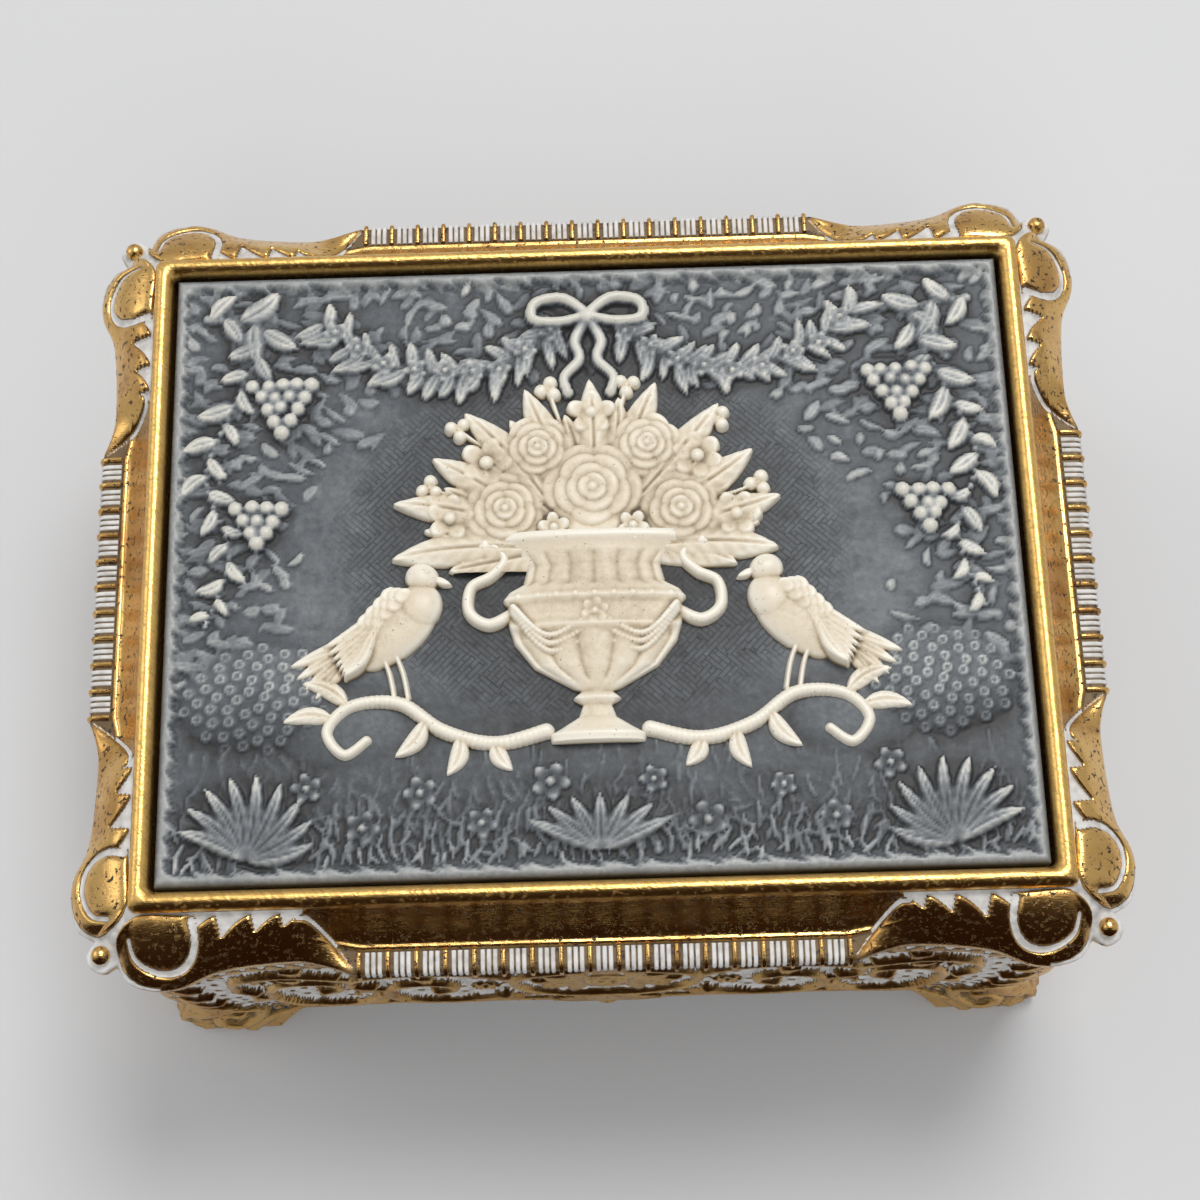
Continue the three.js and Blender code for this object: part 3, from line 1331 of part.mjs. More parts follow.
// A bent leaf on the bracket's foot lifts the lever when the lid opens.
function stopSpring() {
  const z0 = bedThickness + bracketFoot + seatGap;
  const z1 = leverZ - insertGap;
  const left = pivotX - bracketHalf + insertGap;
  const t = leafThickness;
  const [tipX, bendZ] = [bendX + leafBend, z1 - leafBend];
  const shape = new THREE.Shape();
  shape.moveTo(left, z0).lineTo(bendX + t, z0).lineTo(bendX + t, bendZ).lineTo(tipX, z1 - t);
  shape.lineTo(tipX + t, z1).lineTo(tipX - t / 3, z1).lineTo(bendX, bendZ + t / 3);
  shape.lineTo(bendX, z0 + t).lineTo(left, z0 + t);
  return slabAlongY(shape, ...leafSpan).subtract(throughHole(stopScrew, smallScrewRadius + shaftGap));
}

function addMovement(group) {
  const movement = new THREE.Group();
  movement.position.set(bedX, 0, bedZ);
  group.add(movement);
  const x = cylinderFromMiddle;
  const arborBore = cylinderArborRadius + shaftGap;
  add(movement, "movement_bedplate", bedPlate(), nickel);
  add(movement, "spring_housing", springHousing(), nickel);
  pillars.forEach((at, i) => {
    const length = pillarTop - bedThickness + housingScrewIn;
    add(movement, `housing_screw_${i + 1}`, smallScrew([...at, pillarTop + seatGap], length), steel);
  });
  add(movement, "housing_floor", housingFloor(), steel);
  add(movement, "mainspring", mainspring(), steel);
  add(movement, "comb", comb(), steel);
  combScrews().forEach(([sx, sy], i) => {
    const place = [sx, sy, arborHeight + combThickness / 2 + seatGap];
    add(movement, `comb_screw_${i + 1}`, screwDown(place, combThickness + combScrewDepth), steel);
  });
  add(movement, "governor_frame", governorFrame(), nickel);
  const governorScrewPlace = [...governorScrew, bedThickness + frameFoot + seatGap];
  add(movement, "governor_screw", smallScrew(governorScrewPlace, frameFoot + bedThickness), steel);
  add(movement, "stop_bracket", stopBracket(), steel);
  const pivotAt = [pivotX, 0, leverZ + leverThickness / 2];
  const pivotY = wormY - leverWidth / 2 - sweepGap - bracketThickness;
  const pivot = rod("y", pivotAt, pivotY, wormY + leverWidth / 2 + pivotPast, pivotRadius);
  add(movement, "stop_pivot_pin", pivot, steel);
  const stopScrewPlace = [...stopScrew, bedThickness + bracketFoot + leafThickness + 2 * seatGap];
  add(movement, "stop_screw", smallScrew(stopScrewPlace, bracketFoot + bedThickness), steel);
  add(movement, "stop_spring", stopSpring(), brass);
  add(movement, "stop_lever", stopLever(), steel);
  add(movement, "stop_plunger", stopPlunger(), steel);

  add(movement, "winding_arbor", windingArbor(), steel);
  add(movement, "drive_gear", crownGear(), brass);
  add(movement, "ratchet_wheel", ratchetWheel(), steel);
  add(movement, "ratchet_click", ratchetClick(), steel);
  add(movement, "winding_key", windingKey(), brass);

  add(movement, "pinned_cylinder", pinnedCylinder(), brass);
  const arborEnd = frameY + frameThickness + 2 * seatGap;
  const arborStart = wheelY - driveFace / 2 - past;
  const arbor = rod("y", [x, 0, arborHeight], arborStart, arborEnd, cylinderArborRadius);
  add(movement, "cylinder_arbor", arbor, steel);
  const onArbor = (teeth, module, start, y0, y1) =>
    gearAlongY(teeth, module, start, arborBore, x, arborHeight, y0, y1);
  const face = driveFace / 2 - seatGap;
  const crownMate = onArbor(cylinderTeeth, driveModule, -Math.PI / 2, wheelY - face, wheelY + face);
  add(movement, "cylinder_wheel", crownMate, brass);
  const towards = Math.PI - pinionAngle;
  add(movement, "great_wheel", onArbor(greatTeeth, fineModule, towards, greatY, greatY + fineFace), brass);

  const onGovernor = (teeth, start, y0, y1) =>
    gearAlongY(teeth, fineModule, start, governorArborRadius + shaftGap, pinionX, pinionZ, y0, y1);
  const space = towards + Math.PI + Math.PI / pinionTeeth;
  const pinion = onGovernor(pinionTeeth, space, greatY - pinionPast, greatY + fineFace + pinionPast);
  add(movement, "governor_pinion", pinion, steel);
  const governorEnd = frameY + frameDepth;
  const spindleStart = greatY - spindlePast;
  const spindle = rod("y", [pinionX, 0, pinionZ], spindleStart, governorEnd, governorArborRadius);
  add(movement, "governor_arbor", spindle, steel);
  const wormWheel = onGovernor(wormTeeth, Math.PI, wormWheelY, wormWheelY + fineFace);
  add(movement, "worm_wheel", wormWheel, plastic);

  add(movement, "governor_worm", worm(), steel);
  add(movement, "governor_fan", governorFan(), brass);
}

const musicBox = new THREE.Group();
addCase(musicBox);
addLinings(musicBox);
addMovement(musicBox);
addLid(musicBox);

export default musicBox;
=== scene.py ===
import json
import math

import bmesh
import bpy
import numpy as np
from mathutils import Matrix, Vector

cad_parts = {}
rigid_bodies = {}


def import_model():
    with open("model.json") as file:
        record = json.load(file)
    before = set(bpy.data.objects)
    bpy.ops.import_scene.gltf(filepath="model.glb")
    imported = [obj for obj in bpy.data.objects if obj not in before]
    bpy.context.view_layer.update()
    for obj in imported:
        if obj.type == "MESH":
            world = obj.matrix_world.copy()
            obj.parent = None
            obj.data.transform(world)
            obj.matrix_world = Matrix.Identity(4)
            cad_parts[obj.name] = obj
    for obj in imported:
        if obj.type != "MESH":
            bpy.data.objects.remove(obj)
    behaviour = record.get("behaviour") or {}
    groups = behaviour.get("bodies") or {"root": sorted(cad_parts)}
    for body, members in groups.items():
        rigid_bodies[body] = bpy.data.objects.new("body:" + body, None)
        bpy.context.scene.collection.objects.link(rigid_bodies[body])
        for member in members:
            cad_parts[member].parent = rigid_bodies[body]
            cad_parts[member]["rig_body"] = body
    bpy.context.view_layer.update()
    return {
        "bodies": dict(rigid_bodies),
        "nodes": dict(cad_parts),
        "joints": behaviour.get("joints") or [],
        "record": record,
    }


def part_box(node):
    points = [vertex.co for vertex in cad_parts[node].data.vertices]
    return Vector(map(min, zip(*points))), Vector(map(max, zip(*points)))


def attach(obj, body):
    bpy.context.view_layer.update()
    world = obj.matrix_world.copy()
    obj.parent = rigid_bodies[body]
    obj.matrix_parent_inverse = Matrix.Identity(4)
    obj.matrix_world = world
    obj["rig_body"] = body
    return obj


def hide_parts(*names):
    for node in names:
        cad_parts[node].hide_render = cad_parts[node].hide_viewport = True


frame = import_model()
mm = 0.001
print("frame loaded:", len(frame["nodes"]), "nodes")


# Shapes are worked out in millimetres in the frame of the box, and become metres in newPiece.

def nodeBox(node):
    low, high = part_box(node)
    return np.array(low) / mm, np.array(high) / mm


def smoothStep(value, low=0.0, high=1.0):
    part = np.clip((value - low) / (high - low), 0, 1)
    return part * part * (3 - 2 * part)


def mix(a, b, part):
    return a + (b - a) * part


def splineThrough(points, count):  # a smooth curve through the points, ends included
    points = np.array(points, float)
    place = np.linspace(0, len(points) - 1, count)
    first = np.minimum(place.astype(int), len(points) - 2)
    part = (place - first)[:, None]
    padded = np.vstack([points[0], points, points[-1]])
    a, b, c, d = (padded[first + k] for k in range(4))
    return 0.5 * (
        2 * b + (c - a) * part + (2 * a - 5 * b + 4 * c - d) * part**2 + (3 * b - a - 3 * c + d) * part**3
    )


def curveDistance(x, y, curve):
    # distance to a dense curve, and how far along it the nearest point lies from 0 to 1
    best = np.full(x.shape, 1e9)
    along = np.zeros(x.shape)
    for k, (cx, cy) in enumerate(curve):
        away = np.hypot(x - cx, y - cy)
        nearer = away < best
        best[nearer] = away[nearer]
        along[nearer] = k / (len(curve) - 1)
    return best, along


def gridQuads(rows, columns, wrapRows=False, wrapColumns=False):
    r = np.arange(rows if wrapRows else rows - 1)
    c = np.arange(columns if wrapColumns else columns - 1)
    r, c = np.meshgrid(r, c, indexing="ij")
    r, c = r.ravel(), c.ravel()
    up, right = (r + 1) % rows, (c + 1) % columns
    return np.stack([r * columns + c, r * columns + right, up * columns + right, up * columns + c], 1)


def gridBorder(rows, columns):  # the points round a grid, in order
    sides = [np.arange(columns), np.arange(1, rows) * columns + columns - 1]
    sides += [(rows - 1) * columns + np.arange(columns - 2, -1, -1), np.arange(rows - 2, 0, -1) * columns]
    return np.concatenate(sides)


def newObject(name, data):
    made = bpy.data.objects.new(name, data)
    bpy.context.scene.collection.objects.link(made)
    return made


def newPiece(name, points, faces, material, attributes=None):
    mesh = bpy.data.meshes.new(name)
    points = np.asarray(points, np.float64).reshape(-1, 3) * mm
    corners = np.concatenate([np.asarray(f, np.int32).ravel() for f in faces])
    sizes = np.concatenate([np.full(len(f), np.asarray(f).shape[1], np.int32) for f in faces])
    mesh.vertices.add(len(points))
    mesh.vertices.foreach_set("co", points.ravel())
    mesh.loops.add(len(corners))
    mesh.loops.foreach_set("vertex_index", corners)
    mesh.polygons.add(len(sizes))
    mesh.polygons.foreach_set("loop_start", np.concatenate([[0], np.cumsum(sizes)[:-1]]).astype(np.int32))
    mesh.update(calc_edges=True)
    mesh.validate()
    mesh.shade_smooth()
    for key, values in (attributes or {}).items():
        layer = mesh.attributes.new(key, "FLOAT", "POINT")
        layer.data.foreach_set("value", np.asarray(values, np.float32).ravel())
    mesh.materials.append(material)
    return newObject(name, mesh)


def reshape(mesh, change):
    shape = bmesh.new()
    shape.from_mesh(mesh)
    change(shape)
    shape.to_mesh(mesh)
    shape.free()


def facesOutward(piece):
    def change(shape):
        bmesh.ops.recalc_face_normals(shape, faces=shape.faces)
        if shape.calc_volume(signed=True) < 0:
            bmesh.ops.reverse_faces(shape, faces=shape.faces)

    reshape(piece.data, change)


def weld(shape, distance):  # joins points that meet, so that seams and poles are closed
    bmesh.ops.remove_doubles(shape, verts=shape.verts, dist=distance)


def sharpen(piece, degrees=35):  # smooth shading that keeps the edges
    piece.data.shade_smooth()
    piece.data.set_sharp_from_angle(angle=math.radians(degrees))


# Camera

view = {
    "place": (1.35, -83.95, 292.37),
    "tilt": -18.52,  # degrees about the camera's own axes
    "swing": -0.17,
    "roll": 1.66,
    "lens": 63,
}


def setCamera():
    data = bpy.data.cameras.new("camera")
    data.lens = view["lens"]
    data.sensor_width = 36
    data.clip_start = 0.01
    camera = newObject("camera", data)
    turn = (
        Matrix.Rotation(math.radians(view["roll"]), 4, "Z")
        @ Matrix.Rotation(math.radians(view["swing"]), 4, "Y")
        @ Matrix.Rotation(math.radians(view["tilt"]), 4, "X")
    )
    camera.matrix_world = Matrix.Translation(Vector(view["place"]) * mm) @ turn.transposed()
    bpy.context.scene.camera = camera


setCamera()

# Nodes are put in by these few functions. A value may be a number, a colour or another node's socket.


def put(tree, kind, values=None, **settings):
    node = tree.nodes.new(kind)
    for key, value in settings.items():
        setattr(node, key, value)
    for key, value in (values or {}).items():
        if isinstance(value, bpy.types.NodeSocket):
            tree.links.new(value, node.inputs[key])
        else:
            node.inputs[key].default_value = value
    return node


def blended(tree, part, first, second):
    def full(colour):
        return (*colour, 1) if isinstance(colour, tuple) and len(colour) == 3 else colour

    values = {0: part, 6: full(first), 7: full(second)}
    return put(tree, "ShaderNodeMix", values, data_type="RGBA").outputs[2]


def between(tree, part, first, second):
    return put(tree, "ShaderNodeMix", {0: part, 2: first, 3: second}, data_type="FLOAT").outputs[0]


def maths(tree, operation, first, second=0.0, clamp=False):
    return put(tree, "ShaderNodeMath", {0: first, 1: second}, operation=operation, use_clamp=clamp).outputs[0]


def times(tree, first, second):
    return put(tree, "ShaderNodeMath", {0: first, 1: second}, operation="MULTIPLY").outputs[0]


def opposite(tree, part):
    return maths(tree, "SUBTRACT", 1.0, part)


def vectorOf(tree, x=0.0, y=0.0, z=0.0):
    return put(tree, "ShaderNodeCombineXYZ", {"X": x, "Y": y, "Z": z}).outputs[0]


def ranged(tree, value, low, high, newLow=0.0, newHigh=1.0):
    values = {"Value": value, "From Min": low, "From Max": high, "To Min": newLow, "To Max": newHigh}
    return put(tree, "ShaderNodeMapRange", values, interpolation_type="SMOOTHSTEP").outputs["Result"]


def noise(tree, vector, scale, detail=2.0, roughness=0.5):
    values = {"Vector": vector, "Scale": scale, "Detail": detail, "Roughness": roughness}
    return put(tree, "ShaderNodeTexNoise", values).outputs["Fac"]


socketKinds = {float: "NodeSocketFloat", int: "NodeSocketInt", tuple: "NodeSocketVector"}
socketKinds[type(None)] = "NodeSocketGeometry"


def newTree(name, kind, inputs, outputs):
    # sockets are given by name with their usual values, which also say what kind they are
    tree = bpy.data.node_groups.new(name, kind)
    for inOut, sockets in (("INPUT", inputs), ("OUTPUT", outputs)):
        for socket, value in sockets.items():
            made = tree.interface.new_socket(socket, in_out=inOut, socket_type=socketKinds[type(value)])
            if value is not None:
                made.default_value = value
    return tree, tree.nodes.new("NodeGroupInput").outputs, tree.nodes.new("NodeGroupOutput").inputs


def useGroup(tree, group, **values):
    return put(tree, "ShaderNodeGroup", values, node_tree=group).outputs


def makePatinaGroup():  # dark flecks and pits, and a broad cloud of dulling
    inputs = {"Vector": (0.0, 0.0, 0.0), "Size": 1.0, "Amount": 0.5}
    group, given, out = newTree("patina", "ShaderNodeTree", inputs, {"Fleck": 0.0, "Cloud": 0.0})
    wide = maths(group, "DIVIDE", 90, given["Size"])
    fine = maths(group, "DIVIDE", 1500, given["Size"])
    cloud = noise(group, given["Vector"], wide, 4, 0.6)
    spots = noise(group, given["Vector"], fine, 3, 0.65)
    limit = maths(group, "SUBTRACT", 0.80, times(group, given["Amount"], 0.22))
    limit = maths(group, "SUBTRACT", limit, times(group, cloud, 0.12))
    fleck = ranged(group, spots, limit, maths(group, "ADD", limit, 0.06))
    group.links.new(fleck, out["Fleck"])
    group.links.new(cloud, out["Cloud"])
    return group


def makeGrainGroup():  # height of fine grain for a bump
    inputs = {"Vector": (0.0, 0.0, 0.0), "Scale": 1500.0, "Stretch": (1.0, 1.0, 1.0)}
    group, given, out = newTree("grain", "ShaderNodeTree", inputs, {"Height": 0.0})
    mapping = put(group, "ShaderNodeMapping", {"Vector": given["Vector"], "Scale": given["Stretch"]})
    height = noise(group, mapping.outputs["Vector"], given["Scale"], 3, 0.6)
    group.links.new(height, out["Height"])
    return group


def makeWashGroup():  # wash in the recesses with a ragged edge, and a dark line of painted shade that outlines it
    inputs = {"Vector": (0.0, 0.0, 0.0), "Wash": 0.0, "Ragged": 0.3}
    group, given, out = newTree("recessWash", "ShaderNodeTree", inputs, {"Wash": 0.0, "Painted Shade": 0.0})
    ragged = maths(group, "SUBTRACT", noise(group, given["Vector"], 2200, 3, 0.6), 0.5)
    moved = maths(group, "ADD", given["Wash"], times(group, ragged, given["Ragged"]))
    group.links.new(ranged(group, moved, 0.45, 0.75), out["Wash"])
    rim = ranged(group, moved, 0.2, 0.5)
    inner = ranged(group, moved, 0.5, 0.8, 1.0, 0.0)
    group.links.new(times(group, rim, inner), out["Painted Shade"])
    return group


patinaGroup = makePatinaGroup()
grainGroup = makeGrainGroup()
washGroup = makeWashGroup()


def newMaterial(name):
    material = bpy.data.materials.new(name)
    material.use_nodes = True
    tree = material.node_tree
    return material, tree, put(tree, "ShaderNodeTexCoord").outputs["Object"]


def setLook(material, look):  # by the names of the shader's own sockets
    tree = material.node_tree
    for key, value in look.items():
        socket = tree.nodes["Principled BSDF"].inputs[key]
        if isinstance(value, bpy.types.NodeSocket):
            tree.links.new(value, socket)
        else:
            socket.default_value = (*value, 1) if socket.type == "RGBA" and len(value) == 3 else value
    return material


def letThrough(material, part, tint=(1.0, 1.0, 1.0, 1.0)):  # clear where the part is 1
    tree = material.node_tree
    clear = put(tree, "ShaderNodeBsdfTransparent", {"Color": tint}).outputs[0]
    values = {0: part, 1: tree.nodes["Principled BSDF"].outputs[0], 2: clear}
    whole = put(tree, "ShaderNodeMixShader", values).outputs[0]
    tree.links.new(whole, tree.nodes["Material Output"].inputs["Surface"])


def attributeOf(tree, name):
    return put(tree, "ShaderNodeAttribute", attribute_name=name).outputs["Fac"]


def bump(tree, height, strength, distance, under=None):
    values = {"Height": height, "Strength": strength, "Distance": distance}
    if under is not None:
        values["Normal"] = under
    return put(tree, "ShaderNodeBump", values).outputs["Normal"]


gilt = {
    "gold": (0.80, 0.50, 0.17),
    "ochre": (0.55, 0.285, 0.085),
    "tarnish": (0.05, 0.03, 0.017),
    "stain": (0.34, 0.13, 0.045),
    "washColour": (0.70, 0.69, 0.67),
    "washShade": (0.50, 0.48, 0.45),
    # near black: the colour of the painted shade in creases, between the reeds and in deep recesses
    "paintedShadeColour": (0.035, 0.028, 0.022),
    "rubbed_and_highlit": (1.0, 0.65, 0.2),  # the bead, which hands and cloths keep bright, and whose brighter colour is also a painted highlight
    "polish": 0.14,  # roughness where the gilding is bright
    "dull": 0.28,
    "brushed": 0.24,
}


def giltMaterial(name, fleckAmount, ragged, polish):
    material, tree, coords = newMaterial(name)
    patina = useGroup(tree, patinaGroup, Vector=coords, Size=1.0, Amount=fleckAmount)
    wash = useGroup(tree, washGroup, Vector=coords, Wash=attributeOf(tree, "wash"), Ragged=ragged)
    grain = useGroup(tree, grainGroup, Vector=coords, Scale=1800.0)["Height"]
    scratches = useGroup(tree, grainGroup, Vector=coords, Scale=900.0, Stretch=(1.0, 7.0, 4.0))["Height"]
    # painted shade: creases round the wash, the band between the reeds and the deep recesses near the feet
    # are darkened
    paintedShadePart = maths(tree, "MAXIMUM", wash["Painted Shade"], attributeOf(tree, "painted_shade"), True)
    colour = blended(tree, ranged(tree, patina["Cloud"], 0.42, 0.72), gilt["gold"], gilt["ochre"])
    stain = ranged(tree, noise(tree, coords, 260, 5, 0.72), 0.56, 0.74, 0.0, 0.75)
    colour = blended(tree, stain, colour, gilt["stain"])
    # the bead is brighter gold: rubbed gilding, and partly a painted highlight
    rubbed_and_highlit = attributeOf(tree, "rubbed_and_highlit")
    colour = blended(tree, times(tree, rubbed_and_highlit, 0.7), colour, gilt["rubbed_and_highlit"])
    # fine strokes that cross the bead at a slant
    slant = {"Vector": coords, "Rotation": (0, 0, math.radians(45)), "Scale": (1.0, 16.0, 3.0)}
    slanted = put(tree, "ShaderNodeMapping", slant, vector_type="TEXTURE").outputs["Vector"]
    strokes = ranged(tree, noise(tree, slanted, 3400, 3, 0.6), 0.4, 0.7)
    strokes = times(tree, rubbed_and_highlit, strokes)
    colour = blended(tree, times(tree, strokes, 0.45), colour, gilt["ochre"])
    fleck = times(tree, patina["Fleck"], between(tree, rubbed_and_highlit, 1.0, 0.35))
    colour = blended(tree, fleck, colour, gilt["tarnish"])
    colour = blended(tree, paintedShadePart, colour, gilt["paintedShadeColour"])
    shaded = ranged(tree, noise(tree, coords, 700, 2), 0.35, 0.75)
    washColour = blended(tree, shaded, gilt["washColour"], gilt["washShade"])
    colour = blended(tree, wash["Wash"], colour, washColour)
    unmetal = maths(tree, "MAXIMUM", wash["Wash"], times(tree, fleck, 0.6))
    unmetal = maths(tree, "MAXIMUM", unmetal, times(tree, paintedShadePart, 0.8), True)
    rough = ranged(tree, patina["Cloud"], 0.3, 0.75, polish, gilt["dull"])
    rough = between(tree, rubbed_and_highlit, rough, gilt["brushed"])
    rough = maths(tree, "ADD", rough, times(tree, scratches, 0.12))
    rough = between(tree, unmetal, rough, 0.62)
    normal = bump(tree, grain, 0.12, 0.00006)
    normal = bump(tree, scratches, 0.3, 0.00012, normal)
    normal = bump(tree, noise(tree, coords, 420, 2), 0.2, 0.0005, normal)
    normal = bump(tree, opposite(tree, fleck), 0.5, 0.00005, normal)
    normal = bump(tree, strokes, 0.22, 0.00008, normal)
    look = {"Base Color": colour, "Metallic": opposite(tree, unmetal), "Roughness": rough, "Normal": normal}
    return setLook(material, look)


lidGilt = giltMaterial("lid_gilt", 0.75, 0.35, gilt["polish"])
print("materials for the gilding are made")


# Lid casting

stoneLow, stoneHigh = nodeBox("stone_plaque")
lid = {
    "plaqueFace": 57.9,
    "plaqueGap": 0.5,
    "bead": 2.3,
    "beadRise": 1.5,
    "cove": 3.6,
    "coveRise": 5.2,
    "fillet": 0.5,
    "filletRise": 0.35,
    "ribBand": 2.7,
    "rim": 2.0,  # thickness of the outer edge
    "plaqueRise": 0.4,
    "ledge": 4.8,
    "ledgeThickness": 1.3,
    "recess": 0.4,
    "frontRibs": 18,
    "sideRibs": 11,
    "ribPitch": 3.3,
    "ribEnd": 0.6,
    "edgeRound": 0.55,
    "beadCorner": 1.0,
    "lobeStand": 1.1,
    "lobeFromCorner": 9,
    "frontNeck": 1.7,
    "sideNeck": 1.3,
    "neckFromRibs": 7.2,
    "creaseFromCorner": 4.6,
    "creaseIn": 1.9,
    "ballRadius": 1.1,
    "ballIn": 2.9,
    "ballLift": 0.75,  # its middle over the rim
    "ballFlat": 0.85,
    "hornLength": 5.2,
    "footRound": 0.3,  # slant inside the lower edge
    "groove": 0.85,  # width of the scroll's groove
    "grooveDepth": 0.5,
    "notchDepth": 0.5,
    "sample": 0.315,  # spacing of the mesh round the lid
}
pocketX = stoneHigh[0] + lid["plaqueGap"]
pocketY = stoneHigh[1] + lid["plaqueGap"]
footX, footY = pocketX + lid["bead"], pocketY + lid["bead"]
slope = lid["cove"] + lid["fillet"] + lid["ribBand"]
halfX, halfY = footX + slope, footY + slope
plaqueFace = lid["plaqueFace"]
beadFoot = plaqueFace - lid["plaqueRise"]
rimTop = beadFoot - lid["coveRise"]
lidBottom = rimTop - lid["rim"]
frontRibHalf = lid["ribPitch"] * (lid["frontRibs"] - 1) / 2 + lid["ribEnd"]
sideRibHalf = lid["ribPitch"] * (lid["sideRibs"] - 1) / 2 + lid["ribEnd"]
hinge = {"y": halfY - 0.6, "z": 49.6, "radius": 1.5, "knuckle": 7, "gap": 0.3, "room": 1.85}


def scrollOutline():
    # the outline's control points for the scroll at the back edge and the one at the side
    crest, stand, neck, side = lid["lobeFromCorner"], lid["lobeStand"], lid["frontNeck"], lid["sideNeck"]
    crease = lid["creaseFromCorner"]
    fromRibs = lid["neckFromRibs"]
    back = [
        (frontRibHalf, halfY),
        (frontRibHalf + fromRibs / 2, halfY - neck * 0.7),
        (frontRibHalf + fromRibs, halfY - neck),
        ((frontRibHalf + fromRibs + halfX - crest) / 2, halfY - neck * 0.55),
        (halfX - crest - 3, halfY + stand * 0.8),
        (halfX - crest, halfY + stand),
        (halfX - crest + 3, halfY + stand * 0.2),
        (halfX - crease, halfY - lid["creaseIn"]),
    ]
    sideScroll = [
        (halfX - lid["creaseIn"], halfY - crease),
        (halfX + stand * 0.2, halfY - crest + 3),
        (halfX + stand, halfY - crest),
        (halfX + stand * 0.8, halfY - crest - 3),
        (halfX - side * 0.55, (sideRibHalf + fromRibs + halfY - crest) / 2),
        (halfX - side, sideRibHalf + fromRibs * 0.8),
        (halfX - side * 0.7, sideRibHalf + fromRibs / 3),
        (halfX, sideRibHalf),
    ]
    return back, sideScroll


def evenly(curve, spacing):
    steps = np.concatenate([[0], np.cumsum(np.linalg.norm(np.diff(curve, axis=0), axis=1))])
    count = max(2, int(round(steps[-1] / spacing)) + 1)
    at = np.linspace(0, steps[-1], count)
    return np.stack([np.interp(at, steps, curve[:, k]) for k in range(2)], 1)


def quarterOutline(spacing):
    # samples of a quarter from the middle of the back edge to the middle of the right edge
    backPoints, sidePoints = scrollOutline()
    middle = np.array([halfX - lid["ballIn"], halfY - lid["ballIn"]])
    turns = np.radians(np.array([99, 72, 45, 18, -9]))
    tip = middle + 1.7 * lid["ballRadius"] * np.stack([np.cos(turns), np.sin(turns)], 1)
    back = evenly(np.vstack([[(0, halfY)], splineThrough(backPoints, 400)]), spacing)
    corner = evenly(splineThrough([backPoints[-1], *tip, sidePoints[0]], 100), spacing)
    side = evenly(np.vstack([splineThrough(sidePoints, 400), [(halfX, 0)]]), spacing)
    return back, corner[1:-1], side


def ringPartners(quarter, x, y, radius):
    # each sample's partner on a rounded rectangle, whose sizes may change from sample to sample
    back, corner, side = quarter
    ends = np.cumsum([len(back), len(corner)])
    sizes = np.stack(np.broadcast_arrays(x, y, radius, np.zeros(ends[1] + len(side))))[:3]
    (x0, y0, r0), (x1, y1, r1), (x2, y2, r2) = np.split(sizes, ends, axis=1)
    onBack = np.stack([(x0 - r0) * back[:, 0] / back[-1, 0], y0], 1)
    onSide = np.stack([x2, (y2 - r2) * side[:, 1] / side[0, 1]], 1)
    turn = np.linspace(np.pi / 2, 0, len(corner) + 2)[1:-1]
    onCorner = np.stack([x1 - r1 + r1 * np.cos(turn), y1 - r1 + r1 * np.sin(turn)], 1)
    return np.vstack([onBack, onCorner, onSide])


def mirroredRing(points):  # a whole ring, anticlockwise seen from above, from a quarter's points
    right, left = points[1:][::-1], points[:-1]
    parts = [(right, 1, 1), (left, -1, 1), (right, -1, -1), (left, 1, -1)]
    return np.vstack([p * np.array([sx, sy, 1]) for p, sx, sy in parts])


def mirroredValues(values):  # in the order of mirroredRing, one value for each point
    return np.tile(np.concatenate([values[1:][::-1], values[:-1]]), 2)


def padFields(c, b, tip):
    # c runs from the box's corner along an edge and b out from the foot of the bead; tip is where
    # the ribs start. Gives how far inside the scroll a point lies, whether it is part of the cove
    # and how far it is from a groove.
    lobeC, lobeB, alongC, alongB = 9.7, 3.8, 4.75, 3.95
    lobe = (1 - np.sqrt(((c - lobeC) / alongC) ** 2 + ((b - lobeB) / alongB) ** 2)) * alongB
    hornStart = tip - lid["hornLength"]
    inner = np.clip((c - lobeC) / 4.5, 0, 1) * 0.35
    teeth = [(14.3, 1.5), (16.6, 3.1), (20.6, 2.3), (23.9, 1.7)]
    for (start, height), (end, _) in zip(teeth, [*teeth[1:], (hornStart, 0)]):
        part = (c - start) / (end - start)
        tooth = height * np.clip(1 - part, 0, 1) ** 1.5 * smoothStep(part, 0, 0.14)
        inner = np.where((part > 0) & (part < 1), inner + tooth, inner)
    sweep = np.clip((c - hornStart) / (tip - hornStart), 0, 1.2)
    hornLine = 0.8 + (slope - 1.4) * sweep**1.35
    inner = np.where(c > hornStart, hornLine, inner)
    inside = np.where(c < lobeC, lobe, b - inner)
    inCove = (c > tip) | ((c > hornStart) & (b < hornLine))
    hornGroove = np.where(c > hornStart - 1, np.abs(b - hornLine) * 0.8, 9)
    spiral = splineThrough(
        [(6.6, 2.7), (7.1, 4.6), (8.6, 5.8), (10.5, 6.3), (12.4, 5.9), (13.7, 4.6), (14.2, 2.8), (13.9, 0.9)],
        90,
    )
    away, along = curveDistance(c, b, spiral)
    groove = away - lid["groove"] / 2 * (0.75 + 0.5 * along)
    return inside, inCove, np.minimum(groove, hornGroove - 0.25)


